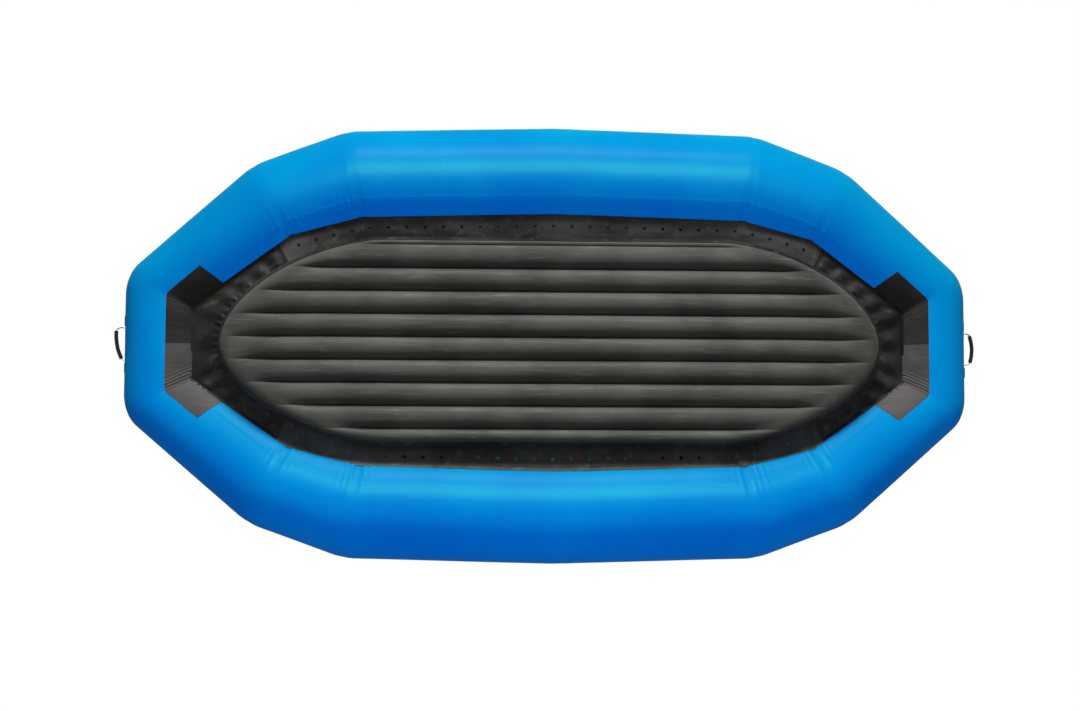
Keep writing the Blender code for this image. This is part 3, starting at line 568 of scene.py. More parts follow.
def skinPoint(station, angle, lift, side):
    # Point off the tube's cloth as it lies: uneven, gathered at the bends and lapped along its seam
    station, angle, lift = np.broadcast_arrays(*[np.asarray(a, float) for a in (station, angle, lift)])
    half = tube["lapHalf"]
    lap = ease((tube["panelSeam"] + half - angle) / (2 * half)) * ease((angle + math.pi) / 0.2)
    uneven = wobble(np.cos(angle) * 1.2, np.sin(angle) * 1.2, station * 1.5 + side) * tube["uneven"]
    fade = ease(station / 0.15) * ease((lastStation - station) / 0.3)
    lift = lift + pleats(station, angle) + tube["panelLap"] * lap + uneven * fade - tube["sunk"]
    return tubePoint(station, angle, lift)


def stationLines(start, stop):
    # Stations from start to stop, close together round the bends
    near, fine = tube["nearBend"], tube["stepNear"]
    lines = []
    for station in range(lastStation):
        low, high, far = max(start, station), min(stop, station + 1), lengths[station] - near
        run = np.concatenate([even(0.0, near, fine), even(near, far, tube["stepFar"])[1:-1],
                              even(far, lengths[station], fine)]) / lengths[station] + station
        lines += [run[(run > low) & (run < high)], [low]]
    return np.unique(np.concatenate([*lines, [stop]]))


def makeTubes():
    full = np.linspace(-math.pi, math.pi, tube["around"] + 1)
    seam, half = tube["panelSeam"], tube["lapHalf"]
    angles = np.unique(np.concatenate([full, [seam - half, seam + half]]))
    gapSide, gapEnd = tube["seamGap"]
    stations = stationLines(gapSide, lastStation - gapEnd)
    for name, (end, side) in corners.items():
        def place(u, v):
            return mirrored(skinPoint(v, u, 0.0, side), end, side)
        piece = clothGrid(f"tube_{name}", angles, stations, place, tube["wall"],
                          (sections[0].radius, tube["uvAlong"]), flip=end * side > 0, closed=True)
        dress(piece, "tube_fabric", f"chamber_{name}")


def makeTapes():
    # Girth tape over the joint of the side panels
    angles = np.linspace(-math.pi, math.pi, tube["around"] + 1)
    for name, side in sides.items():
        def place(u, v):
            lift = tape["lift"] + wobble(u * 3.0, v * 40.0) * tape["uneven"]
            return mirrored(skinPoint(v / lengths[0], u, lift, side), 1, side)
        piece = clothGrid(f"girth_tape_{name}", angles, even(tape["low"], tape["high"], tape["step"]), place,
                          tape["wall"], (sections[0].radius, 1.0), flip=side > 0, closed=True)
        dress(piece, "tube_fabric")


makeTubes()
makeTapes()
print("tubes laid")


# Floor

floor = {
    "length": 3.2293, "width": 1.0001, "straight": 1.62, "depth": 0.127, "clear": 0.010,
    "level": 2.0, "rise": 0.120, "lip": 0.004,
    "ribs": 10, "ribPitch": 0.1091, "ribShift": -0.021, "ribDepth": 0.033, "ribArc": 0.90,
    "fadeSide": 0.095, "fadeEnd": 0.290, "endPower": 1.6, "sidePower": 1.8,
    "wall": 0.0012, "seam": 0.0003, "sag": 0.0016, "sagFrom": 0.02,
}


def floorReach(y):
    share = np.clip(np.abs(y) / (floor["width"] / 2), 0.0, 1.0)
    rounding = (floor["length"] - floor["straight"]) / 2
    return floor["straight"] / 2 + rounding * (1 - share ** floor["sidePower"]) ** (1 / floor["endPower"])


def floorHalfWidth(x):
    share = (np.abs(x) - floor["straight"] / 2) / ((floor["length"] - floor["straight"]) / 2)
    share = np.clip(share, 0.0, 1.0)
    return floor["width"] / 2 * (1 - share ** floor["endPower"]) ** (1 / floor["sidePower"])


def floorMiddle(x):
    # Height of the floor's middle layer, which rises towards both ends
    share = np.maximum(0.0, (np.abs(x) - floor["level"] / 2) / ((floor["length"] - floor["level"]) / 2))
    return floor["clear"] + floor["depth"] / 2 + floor["rise"] * share ** 2


def floorHalfDepth(x, y):
    # From the middle layer to either skin: round at the rim, ribbed inside it
    along, across = floorReach(y) - np.abs(x), floorHalfWidth(x) - np.abs(y)
    inside = np.clip(along, 1e-9, None) * np.clip(across, 1e-9, None) / np.hypot(along, across)
    edge = np.maximum(floor["depth"] / 2 - inside, 0.0)
    roundOver = np.sqrt(np.maximum((floor["depth"] / 2) ** 2 - edge ** 2, 0.0))
    offCrest = np.abs(((y - floor["ribShift"]) / floor["ribPitch"]) % 1 - 0.5) * 2
    arc = 1 - np.sqrt(np.maximum(1 - (offCrest * floor["ribArc"]) ** 2, 0.0))
    valley = arc / (1 - math.sqrt(1 - floor["ribArc"] ** 2))
    fade = ease(inside / floor["fadeSide"]) * ease(along / floor["fadeEnd"])
    return np.maximum(roundOver - floor["ribDepth"] * valley * fade, floor["lip"])


def floorShares():
    # Shares of a line's half length, closer together towards its end
    half = np.concatenate([even(0.0, 0.62, 0.02), 0.62 + 0.38 * np.sin(np.linspace(0, math.pi / 2, 26))[1:]])
    return np.concatenate([-half[:0:-1], half])


def floorLines():
    # Shares of the width, closer together in the ribs' valleys and at the rim
    rib = 0.5 - 0.5 * np.cos(np.linspace(0.0, math.pi, 17))[:-1]
    inner = np.concatenate([rib + k for k in range(floor["ribs"])] + [[floor["ribs"]]]) - floor["ribs"] / 2
    inner = 0.5 + (inner * floor["ribPitch"] + floor["ribShift"]) / floor["width"]
    inner = inner[(inner > 0.01) & (inner < 0.99)]
    rim = 0.5 - 0.5 * np.cos(np.linspace(0, math.pi / 2, 10)) * 0.1
    return np.unique(np.round(np.concatenate([inner, 1 - (0.5 - rim), 0.5 - rim]), 6))


def makeFloor():
    shares, lines = floorShares(), floorLines()
    for name, up, node in (("floor_deck", 1, "floor_top_skin"), ("floor_underside", -1, "floor_bottom_skin")):
        def place(u, v):
            y = (v - 0.5) * floor["width"]
            x = floorReach(y) * u
            onRim = (np.abs(u) >= 0.99999) | (np.abs(v - 0.5) >= 0.49999)
            depth = np.where(onRim, floor["seam"], floorHalfDepth(x, y))
            fade = ease((depth - floor["sagFrom"]) / 0.03)
            sag = wobble(x * 2.2, y * 14.0, x * 0 + up) * floor["sag"] * fade
            depth = depth + sag - floor["sag"] * (depth > floor["sagFrom"])
            return np.stack([x, y, floorMiddle(x) + up * depth], -1)
        piece = clothGrid(name, shares, lines, place, floor["wall"], (floor["length"] / 2, floor["width"]),
                          flip=up < 0)
        dress(piece, "floor_fabric", node)


makeFloor()
print("floor laid")


# Skirts between floor and tubes

skirt = {
    "seam": -0.0069, "seamRise": 0.030, "lapAngle": math.radians(3.0), "lapFrom": 0.75, "lift": 0.0034,
    "glueAngles": np.radians((43.0, 43.0, 39.0, 31.0, 31.0)), "wall": 0.0012,
    "split": 2.12, "splitGap": 0.0004,  # station where side and end skirts meet, and half the gap
    "holes": 14, "holePitch": 0.088, "holeRadius": 0.0085, "holeShare": 0.6,
    "calm": 0.045, "sag": 0.003, "ripple": 0.0035, "fineRipple": 0.0012,
    "puckerPitch": 0.033, "puckerReach": 0.22, "foldPitch": 0.094, "crease": 0.0075,
    "ends": {"bow": {"pucker": 0.0045, "fold": 0.0170, "calmer": 0.0},
             "stern": {"pucker": 0.0090, "fold": 0.0150, "calmer": 0.45}},
}


def borderLine():
    # The floor's edge in plan, from the middle of a side round to the middle of an end
    straight = even(0.0, floor["straight"] / 2, 0.02)
    turn = np.linspace(math.pi / 2, 0.0, 400)[1:]
    rounding = (floor["length"] - floor["straight"]) / 2
    x = floor["straight"] / 2 + rounding * np.cos(turn) ** (2 / floor["endPower"])
    y = floor["width"] / 2 * np.sin(turn) ** (2 / floor["sidePower"])
    x = np.concatenate([straight, x])
    y = np.concatenate([straight * 0 + floor["width"] / 2, y])
    return runAlong(np.stack([x, y], 1)), x, y


borderRun, borderX, borderY = borderLine()
fullRun = float(borderRun[-1])


def borderPoint(run, out):
    # Point on the floor's edge, or off it by out
    x, y = np.interp(run, borderRun, borderX), np.interp(run, borderRun, borderY)
    step = 0.004
    low, high = np.clip(run - step, 0, fullRun), np.clip(run + step, 0, fullRun)
    dx = np.interp(high, borderRun, borderX) - np.interp(low, borderRun, borderX)
    dy = np.interp(high, borderRun, borderY) - np.interp(low, borderRun, borderY)
    size = np.hypot(dx, dy)
    return np.stack([x - dy / size * out, y + dx / size * out, floorMiddle(x)], -1)


def glueAngle(station):
    # Where the skirt's outer edge is glued, round the tube
    return -math.pi / 2 - np.interp(station, range(lastStation + 1), skirt["glueAngles"])


def borderRunNear(station):
    spot = tubePoint(station, glueAngle(station))
    return float(borderRun[np.argmin(np.hypot(borderX - spot[0], borderY - spot[1]))])


matchRuns = [0.0, *[borderRunNear(k) for k in range(1, lastStation)], fullRun]
splitRun = float(np.interp(skirt["split"], range(lastStation + 1), matchRuns))


def stationAt(run):
    return np.interp(run, matchRuns, range(lastStation + 1))


def skirtPoint(run, across, folds):
    # across: 0 at the floor seam, lapFrom where the lap starts on the tube, 1 at the lap's outer edge
    station, lapFrom = stationAt(run), skirt["lapFrom"]
    outer = glueAngle(station)
    inner = outer - skirt["lapAngle"]
    seam = borderPoint(run, skirt["seam"]) + np.array((0.0, 0.0, skirt["seamRise"]))
    start = tubePoint(station, inner, skirt["lift"])
    share = np.clip(across / lapFrom, 0.0, 1.0)[..., None]
    free = seam + (start - seam) * share
    onTube = np.clip((across - lapFrom) / (1 - lapFrom), 0.0, 1.0)
    lap = tubePoint(station, inner + (outer - inner) * onTube, skirt["lift"])
    place = np.where(across[..., None] < lapFrom, free, lap)
    place[..., 2] += folds(run, share[..., 0]) * np.where(across < lapFrom, 1.0, 0.0)
    return place


def nearSplit(run):
    # The folds die out where the side and end skirts meet
    return ease(np.abs(run - splitRun) / skirt["calm"])


def sideFolds(run, share):
    hang = np.sin(share * math.pi) * nearSplit(run)
    ripple = wobble(run * 7.0, share * 2.0, run * 0 + 3.0) * skirt["ripple"]
    fine = wobble(run * 26.0, share * 5.0, run * 0 + 5.0) * skirt["fineRipple"]
    return hang * (ripple + fine - skirt["sag"])


def endFolds(run, share, line, look):
    # Broad folds fan out from the floor, with short tucks where the cloth is gathered at its seam
    calm = nearSplit(run)
    hang = np.sin(share * math.pi) ** 0.8 * calm
    drift = wobble(line * 3.1, share * 0.8, run * 0 + 8.0) * 2.2
    middle = ease((run - (fullRun - 0.42)) / 0.25)
    fold = np.sin(line * math.tau / skirt["foldPitch"] + drift) * (0.75 + 0.5 * wobble(line * 7.0, share * 0))
    broad = look["fold"] * fold * (1.0 - look["calmer"] * middle)
    crease = wobble(line * 19.0, share * 2.6, run * 0 + 9.0) * skirt["crease"]
    tight = 0.35 + 0.65 * ease((run - (fullRun - 0.45)) / 0.2)
    tuck = np.cos(line * math.tau / skirt["puckerPitch"] + wobble(line * 11.0, share * 0 + 2.0) * 3.0)
    size = 0.70 + 0.55 * wobble(line * 30.0, share * 0)
    falls = ease(share / 0.05) * np.exp(-(share / skirt["puckerReach"]) ** 2)
    return hang * (broad + crease - skirt["sag"]) + look["pucker"] * tight * size * tuck * falls * calm


def makeSideSkirts():
    lapFrom = skirt["lapFrom"]
    half = even(0.0, splitRun - skirt["splitGap"], 0.011)
    runs = np.concatenate([-half[:0:-1], half])
    across = np.concatenate([np.linspace(0, lapFrom, 19), np.linspace(lapFrom, 1.0, 6)[1:]])
    for name, side in sides.items():
        def place(u, v):
            points = skirtPoint(np.abs(u), v, sideFolds)
            points[..., 0] *= np.where(u < 0, -1.0, 1.0)
            return mirrored(points, 1, side)
        piece = clothGrid(f"side_skirt_{name}", runs, across, place, skirt["wall"], (1.0, 0.15),
                          flip=side > 0)
        drillHoles(piece, side)
        dress(piece, "skirt_fabric", f"drain_skirt_{name}")


def holePlaces():
    # Along one side, evenly spaced on the skirt's own slope
    runs = even(0.0, fullRun, 0.002)
    line = skirtPoint(runs, runs * 0 + skirt["holeShare"] * skirt["lapFrom"], lambda run, share: 0.0)
    sofar = runAlong(line)
    wanted = np.arange(skirt["holes"] + 1) * skirt["holePitch"]
    half = [np.array([np.interp(w, sofar, line[:, k]) for k in range(3)]) for w in wanted]
    return half + [p * (-1, 1, 1) for p in half[1:]]


def drillHoles(piece, side):
    pick()
    rods = []
    for x, y, z in holePlaces():
        bpy.ops.mesh.primitive_cylinder_add(vertices=20, radius=skirt["holeRadius"], depth=0.06,
                                            location=(x, y * side, z))
        rods.append(bpy.context.object)
    pick(*rods[::-1])
    bpy.ops.object.join()
    drill = bpy.context.object
    pick(piece)
    cut = piece.modifiers.new("holes", "BOOLEAN")
    cut.operation, cut.solver, cut.object = "DIFFERENCE", "EXACT", drill
    bpy.ops.object.modifier_apply(modifier=cut.name)
    bpy.data.objects.remove(drill)


def makeEndSkirts():
    lapFrom = skirt["lapFrom"]
    half = even(splitRun + skirt["splitGap"], fullRun, 0.0042)
    runs = np.concatenate([half - fullRun, (fullRun - half[-2::-1])])
    across = np.concatenate([np.linspace(0, 1, 15)[:-1] ** 1.5 * 0.45, np.linspace(0.45, lapFrom, 9),
                             np.linspace(lapFrom, 1.0, 6)[1:]])
    for name, end in ends.items():
        def place(u, v):
            def folds(run, share):
                return endFolds(run, share, u + end * 0.7, skirt["ends"][name])
            points = skirtPoint(fullRun - np.abs(u), v, folds)
            points[..., 1] *= np.where(u < 0, 1.0, -1.0)
            return mirrored(points, end, 1)
        piece = clothGrid(f"end_skirt_{name}", runs, across, place, skirt["wall"], (1.0, 0.2), flip=end > 0)
        # The end skirts are the skirt cloth in a darker copy: painted shade
        dress(piece, "end_skirt_fabric", f"{name}_skirt", slot="skirt_fabric")


makeSideSkirts()
makeEndSkirts()
print("skirts hung")


# Welt on the floor's edge

rim = {
    "width": 0.020, "lift": 0.0014, "past": 0.0005, "wall": 0.0009,
    "ridge": 0.0009, "ridgeAt": 0.72, "ridgeWide": 0.07,  # the sewn line, by its share of the width
}


def loopPoint(run):
    # Where a run right round the floor's edge is, and the way in from it
    quarter = np.clip(np.floor(run / fullRun), 0, 3)
    part = np.clip(run - quarter * fullRun, 0.0, fullRun)
    part = np.where(quarter % 2 == 1, fullRun - part, part)
    x, y = np.interp(part, borderRun, borderX), np.interp(part, borderRun, borderY)
    inward = (borderPoint(part, -0.010)[..., :2] - np.stack([x, y], -1)) / 0.010
    outer = (quarter == 0) | (quarter == 3)
    turn = np.stack([np.where(quarter < 2, 1.0, -1.0), np.where(outer, 1.0, -1.0)], -1)
    return np.stack([x, y], -1) * turn, inward * turn


def makeRimTape():
    # Doubled cloth over the floor's edge, with the sewn line of the skirt on it
    runs = even(0.0, 4 * fullRun, 0.012)
    across = np.linspace(0.0, 1.0, 12) ** 1.7
    for name, up in {"floor_rim_tape_low": -1, "floor_rim_tape_high": 1}.items():
        def place(u, v):
            edge, inward = loopPoint(u)
            spot = edge + inward * (v * rim["width"] - rim["past"])[..., None]
            x, y = spot[..., 0], spot[..., 1]
            depth = floorHalfDepth(x, y) * ease(v / 0.02) + rim["lift"]
            depth += rim["ridge"] * np.exp(-((v - rim["ridgeAt"]) / rim["ridgeWide"]) ** 2)
            return np.stack([x, y, floorMiddle(x) + up * depth], -1)
        piece = clothGrid(name, runs, across, place, rim["wall"], (1.0, rim["width"]), flip=up > 0)
        # Floor cloth given the darker copy: painted shade, a dark line along the floor's edge
        dress(piece, "end_skirt_fabric", slot="floor_fabric")


makeRimTape()
print("floor rim taped")


# Wear panels under both ends

panel = {
    "start": 2.68, "mitre": 3, "outer": math.radians(-91.5), "tuck": math.radians(2.0), "wall": 0.0008,
    "stripe": 0.0005, "pitch": 0.0155, "reach": 0.075,
    # The starboard panels take the darker copy (painted shade), the port panels the paler one (painted light)
    "sides": {"starboard": {"lift": 0.0024, "finish": "wear_fabric_upper"},
              "port": {"lift": 0.0034, "finish": "wear_fabric_lower"}},
    "past": {"bow": {"port": 0.022, "starboard": 0.030},  # how far over the middle line
             "stern": {"port": -0.008, "starboard": 0.040}},
}


def panelSpot(station, angle, lift, side):
    # Past the middle of the end, the panel goes on over the other side's tube
    over = station > lastStation
    spot = skinPoint(np.where(over, 2 * lastStation - station, station), angle, lift, side)
    spot[..., 1] *= np.where(over, -1.0, 1.0)
    return spot


def panelAngle(station, share):
    inner = glueAngle(np.minimum(station, 2 * lastStation - station)) - panel["tuck"]
    return inner + (panel["outer"] - inner) * share


def mitreOff(station, share):
    # How far a point is along the end tube from the mitre, negative on the diagonal tube
    angle = panelAngle(station, share)
    near = np.minimum(station, 2 * lastStation - station)
    spot, mitre = tubePoint(near, angle), tubePoint(station * 0 + panel["mitre"], angle)
    return np.linalg.norm((spot - mitre)[..., :2], axis=-1) * np.where(station < panel["mitre"], -1.0, 1.0)


def stripeMask(off):
    # Strong from the mitre to the stripes' reach, and faint on the diagonal's side of it
    strong = ease(off / 0.004) * ease((panel["reach"] - off) / 0.02)
    return strong + 0.35 * np.exp(-((off + 0.02) / 0.018) ** 2)


def makeWearPanels():
    across = np.linspace(0.0, 1.0, 15)
    arm = even(panel["start"], panel["mitre"], 0.012)
    for name, (end, side) in corners.items():
        endName, sideName = name.split("_")
        look = panel["sides"][sideName]
        stop = lastStation + panel["past"][endName][sideName] / tube["bends"][panel["mitre"]][1]
        stations = np.unique(np.concatenate([arm, even(panel["mitre"], stop, 0.0075)]))

        def place(u, v):
            off = mitreOff(v, u)
            stripes = np.cos(off * math.tau / panel["pitch"]) * stripeMask(off)
            lift = look["lift"] + panel["stripe"] * stripes
            return mirrored(panelSpot(v, panelAngle(v, u), lift, side), end, side)

        def marks(u, v):
            off = mitreOff(v, u)
            return np.stack([off, stripeMask(off), off * 0.0], -1)
        piece = clothGrid(f"wear_panel_{name}", across, stations, place, panel["wall"], (0.14, 0.35),
                          flip=end * side < 0, marks=marks)
        dress(piece, look["finish"], f"{endName}_wear_patch", slot="wear_fabric")


makeWearPanels()
print("wear panels glued")


# Thwarts

thwart = {
    "x": 0.620, "radius": 0.180, "seat": floor["clear"] + floor["depth"] + 0.0003, "face": 0.105,
    "crown": 0.052, "tape": (0.10, 0.125), "tapeLift": 0.0008,
    "pleats": 26, "pleat": 0.0016, "pleatAt": 0.035, "pleatReach": 0.03,
    "uneven": 0.0012, "sunk": 0.0016, "endGap": 0.0006, "around": 96,
}


def thwartProfile(half):
    # Radius and reach from the middle, from the middle of one end round to the middle of the other
    turn = np.linspace(0.0, math.pi / 2, 12)
    lip = thwart["radius"] - thwart["face"]
    crown = half - thwart["crown"] * (1 - np.cos(turn))
    cap = np.stack([thwart["face"] + lip * np.sin(turn) ** 0.9, crown], 1)
    face = np.stack([np.linspace(0.0, thwart["face"], 7)[:-1], np.full(6, half)], 1)
    low, high = thwart["tape"]
    edges = [half - low + 0.001, half - low, half - high, half - high - 0.001]
    run = np.concatenate([edges, even(half - high - 0.02, 0.0, 0.03)])
    side = np.stack([np.full(len(run), thwart["radius"]), run], 1)
    part = np.concatenate([face, cap, side])
    return np.concatenate([part, (part * (1, -1))[-2::-1]])


def makeThwarts():
    share = (thwart["x"] + thwart["radius"]) / float(tubePoint(1.0, math.pi)[0])
    half = float(tubePoint(share, math.pi)[1]) - thwart["endGap"]
    profile = thwartProfile(half)
    line = np.arange(len(profile)).astype(float)
    low, high = thwart["tape"]
    angles = np.linspace(-math.pi, math.pi, thwart["around"] + 1)
    for name, end in ends.items():
        def place(u, v):
            radius, reach = np.interp(v, line, profile[:, 0]), np.interp(v, line, profile[:, 1])
            off = half - np.abs(reach)
            taped = (off >= low) & (off <= high)
            pucker = np.cos(u * thwart["pleats"] + wobble(np.cos(u) * 2, np.sin(u) * 2, reach * 0 + end) * 3)
            near = np.exp(-((off - thwart["pleatAt"]) / thwart["pleatReach"]) ** 2)
            near = near * (radius > thwart["face"])
            uneven = wobble(np.cos(u) * 1.4, np.sin(u) * 1.4, reach * 3.0 + end) * thwart["uneven"]
            lift = thwart["tapeLift"] * taped + thwart["pleat"] * pucker * near + uneven - thwart["sunk"]
            grown = radius + lift * (radius > 0.02)
            x = thwart["x"] * end + grown * np.cos(u)
            return np.stack([x, reach, thwart["seat"] + thwart["radius"] + grown * np.sin(u)], -1)
        piece = clothGrid(f"thwart_{name}", angles, line, place, 0.0, (thwart["radius"], 0.03), closed=True)
        dress(piece, "tube_fabric", f"{name}_thwart")


makeThwarts()
print("thwarts laid")


# Fittings: where each sits, and turned and moulded pieces

def faceFrame(station, angle, end, side):
    # Origin on the fabric, Z off it and Y up round the tube
    first = min(int(station), lastStation - 1)
    here, low, high = [Vector(mirrored(tubePoint(station, angle + turn), end, side))
                       for turn in (0, -0.05, 0.05)]
    start, stop = [Vector(mirrored(sections[k].point(angle, 0.0), end, side)) for k in (first, first + 1)]
    along = (stop - start).normalized()
    out = (high - low).cross(along).normalized() * (end * side)
    up = out.cross(along).normalized() * (end * side)
    return frameFrom(here, up if up.z * math.cos(angle) >= 0 else -up, out)


def frameFrom(origin, up, out):
    place = Matrix((up.cross(out), up, out)).transposed().to_4x4()
    place.translation = origin
    return place


def seat(piece, place):
    pick(piece)
    piece.matrix_world = place
    bpy.ops.object.transform_apply(location=True, rotation=True, scale=True)
    return piece


def copyTo(pattern, name, place):
    pick(pattern)
    bpy.ops.object.duplicate()
    piece = bpy.context.object
    piece.name = piece.data.name = name
    return seat(piece, place)


def lathe(name, profile, around=48):
    # Turned about Z: the points are (radius, height), and a radius of nothing is closed to a pole
    points = [(max(radius, 0.00001), height) for radius, height in profile]
    pick()
    bpy.ops.mesh.primitive_circle_add(vertices=around, radius=points[0][0], location=(0, 0, points[0][1]))
    piece = bpy.context.object
    piece.name = piece.data.name = name
    bpy.ops.object.mode_set(mode="EDIT")
    bpy.ops.mesh.select_all(action="SELECT")
    for (wide, low), (wider, high) in zip(points, points[1:]):
        bpy.ops.mesh.extrude_edges_move(TRANSFORM_OT_translate={"value": (0, 0, high - low)})
        bpy.ops.transform.resize(value=(wider / wide, wider / wide, 1.0))
    bpy.ops.mesh.select_all(action="SELECT")
    bpy.ops.mesh.remove_doubles(threshold=0.00003)
    bpy.ops.mesh.normals_make_consistent(inside=False)
    bpy.ops.object.mode_set(mode="OBJECT")
    bpy.ops.object.transform_apply(location=True, rotation=True, scale=True)
    return piece


def block(low, high, bevel):
    # A moulded block with rounded edges
    pick()
    low, high = Vector(low), Vector(high)
    bpy.ops.mesh.primitive_cube_add(size=1.0, location=(low + high) / 2)
    piece = bpy.context.object
    piece.scale = high - low
    bpy.ops.object.transform_apply(location=True, rotation=True, scale=True)
    bpy.ops.object.mode_set(mode="EDIT")
    bpy.ops.mesh.select_all(action="SELECT")
    bpy.ops.mesh.bevel(offset=bevel, segments=3, affect="EDGES")
    bpy.ops.object.mode_set(mode="OBJECT")
    return piece


def extrudeEvery(piece, chosen, reach):
    # Faces that chosen(centre, normal) picks out grow by reach
    pick(piece)
    bpy.ops.object.mode_set(mode="EDIT")
    bpy.ops.mesh.select_all(action="DESELECT")
    bpy.ops.object.mode_set(mode="OBJECT")
    for face in piece.data.polygons:
        face.select = bool(chosen(face.center, face.normal))
    bpy.ops.object.mode_set(mode="EDIT")
    bpy.ops.mesh.select_mode(type="FACE")
    bpy.ops.mesh.extrude_region_shrink_fatten(TRANSFORM_OT_shrink_fatten={"value": reach})
    bpy.ops.object.mode_set(mode="OBJECT")


def gather(name, *pieces):
    # Join pieces into one with this name
    pick(*pieces)
    bpy.ops.object.join()
    piece = bpy.context.object
    piece.name = piece.data.name = name
    bpy.ops.object.shade_smooth_by_angle(angle=math.radians(32.0))
    return piece


# Valves

valve = {
    "bore": 0.0145, "collar": 0.023, "flange": 0.031, "barrel": 0.0195, "depth": 0.030, "seat": 0.0115,
    "top": 0.009, "reliefTop": 0.006, "gap": 0.0003, "rim": 0.003, "bevel": 0.0008, "cap": 0.0265,
    "capThick": 0.004, "plug": 0.0136, "lug": 0.0335, "lugWide": 0.012, "knurls": 24, "knurl": 0.0007,
    "guideBore": 0.0055, "guideLow": -0.012, "guideHigh": -0.010,
    "chamber": (0.42, math.radians(135.0)), "thwart": (0.300, math.radians(45.0)), "floorX": 0.930,
}


def valveBody(name, top, guided):
    v, bevel = valve, valve["bevel"]
    rim, low = v["gap"] + v["rim"], -v["depth"]
    profile = [(v["bore"], top - 0.0006), (v["bore"] + 0.0006, top), (v["collar"] - bevel, top)]
    profile += [(v["collar"], top - bevel), (v["collar"], rim + bevel), (v["collar"] + bevel, rim)]
    profile += [(v["flange"] - 0.0009, rim), (v["flange"], rim - 0.0009), (v["flange"], v["gap"])]
    profile += [(v["barrel"], v["gap"]), (v["barrel"], low), (v["seat"], low), (v["seat"], low + 0.003)]
    profile += [(v["bore"], low + 0.003), (v["bore"], top - 0.0006)]
    made = [lathe(name, profile)]
    if guided:
        made.append(lathe("guide", [(v["bore"], v["guideLow"]), (v["guideBore"], v["guideLow"]),
                                    (v["guideBore"], v["guideHigh"]), (v["bore"], v["guideHigh"])]))
    if top > rim + 0.003:  # tall enough for the cap's hinge
        half = v["lugWide"] / 2
        made.append(block((-half, -v["lug"], v["gap"]), (half, -v["collar"] + 0.002, top), bevel))
    return gather(name, *made)


def valveCap(name):
    v = valve
    low, high = v["top"] + v["gap"], v["top"] + v["gap"] + v["capThick"]
    dish = [(0.0, high - 0.0012), (0.0165, high - 0.0012), (0.0178, high), (v["cap"] - 0.0008, high)]
    dish += [(v["cap"], high - 0.0008), (v["cap"], low + 0.0004), (v["cap"] - 0.0004, low), (v["plug"], low)]
    dish += [(v["plug"], low - 0.0036), (v["plug"] - 0.0004, low - 0.004), (0.0, low - 0.004)]
    disc = lathe(name, dish, 2 * v["knurls"])

    def onRim(centre, normal):
        turn = math.atan2(centre.y, centre.x) / math.tau * v["knurls"]
        return math.hypot(centre.x, centre.y) > v["cap"] - 0.0006 and abs(normal.z) < 0.3 and turn % 1.0 < 0.5
    extrudeEvery(disc, onRim, v["knurl"])
    bar = block((-0.0145, -0.0026, high - 0.0016), (0.0145, 0.0026, high + 0.0016), 0.0009)
    half = v["lugWide"] / 2 - 0.001
    ear = block((-half, -v["lug"], low), (half, -v["cap"] + 0.004, high), 0.0007)
    return gather(name, disc, bar, ear)


def valveStem(name):
    low = -valve["depth"] - valve["gap"]
    points = [(0.0, 0.003), (0.0038, 0.003), (0.005, 0.0021), (0.005, -0.001), (0.003, -0.001), (0.003, low)]
    points += [(0.0130, low), (0.0138, low - 0.0008), (0.0138, low - 0.003), (0.0, low - 0.003)]
    return gather(name, lathe(name, points))


def onDeck(x):
    return frameFrom(Vector((x, 0, floor["clear"] + floor["depth"])), Vector((0, 1, 0)), Vector((0, 0, 1)))


def valvePlaces():
    station, angle = valve["chamber"]
    places = {name: faceFrame(station, angle, end, side) for name, (end, side) in corners.items()}
    places["floor"] = onDeck(valve["floorX"])
    across, angle = valve["thwart"]
    for name, end in ends.items():
        out = Vector((-end * math.cos(angle), 0.0, math.sin(angle)))
        centre = Vector((thwart["x"] * end, across, thwart["seat"] + thwart["radius"]))
        up = Vector((0, 1, 0)).cross(out) * end
        places[f"{name}_thwart"] = frameFrom(centre + out * thwart["radius"], up, out)
    return places


def makeValves():
    patterns = {"body": valveBody("pattern_body", valve["top"], True), "cap": valveCap("pattern_cap"),
                "stem": valveStem("pattern_stem"), "open": valveBody("pattern_open", valve["top"], False)}
    for name, place in valvePlaces().items():
        plain = name.endswith("thwart")  # a thwart's valve has no stem
        body = copyTo(patterns["open" if plain else "body"], f"valve_body_{name}", place)
        dress(body, "valve_plastic", f"{name}_valve_body")
        moving = {"cap": "valve_plastic"} if plain else {"cap": "valve_plastic", "stem": "stem_plastic"}
        for part, finish in moving.items():
            node = f"{name}_valve_{part}"
            dress(copyTo(patterns[part], f"valve_{part}_{name}", place), finish, node, body=node)
    for pattern in patterns.values():
        bpy.data.objects.remove(pattern)


def makeRelief():
    place, low = onDeck(-valve["floorX"]), valve["reliefTop"] + valve["gap"]
    body = seat(valveBody("relief_body", valve["reliefTop"], True), place)
    dress(body, "valve_plastic", "relief_valve_body")
    points = [(0.0, low + 0.0036), (0.009, low + 0.0033), (0.0155, low + 0.0022), (0.017, low + 0.0008)]
    points += [(0.017, low), (0.003, low), (0.003, -0.018), (0.0, -0.018)]
    poppet = seat(gather("relief_poppet", lathe("relief_poppet", points)), place)
    dress(poppet, "stem_plastic", "relief_valve_poppet", body="relief_valve_poppet")


makeValves()
makeRelief()
print("valves fitted")


# Lashing rings

lashing = {
    "station": 0.62, "angle": math.radians(45.0), "wire": 0.003, "half": 0.025, "drop": 0.042,
    "patch": 0.075, "cloth": 0.0026, "wall": 0.0016, "bar": 0.0086, "keeper": 0.027,
    "keeperFoot": [(0.030, 0.0042), (0.018, 0.0044), (0.008, 0.0050)],  # along the cloth and off it
}


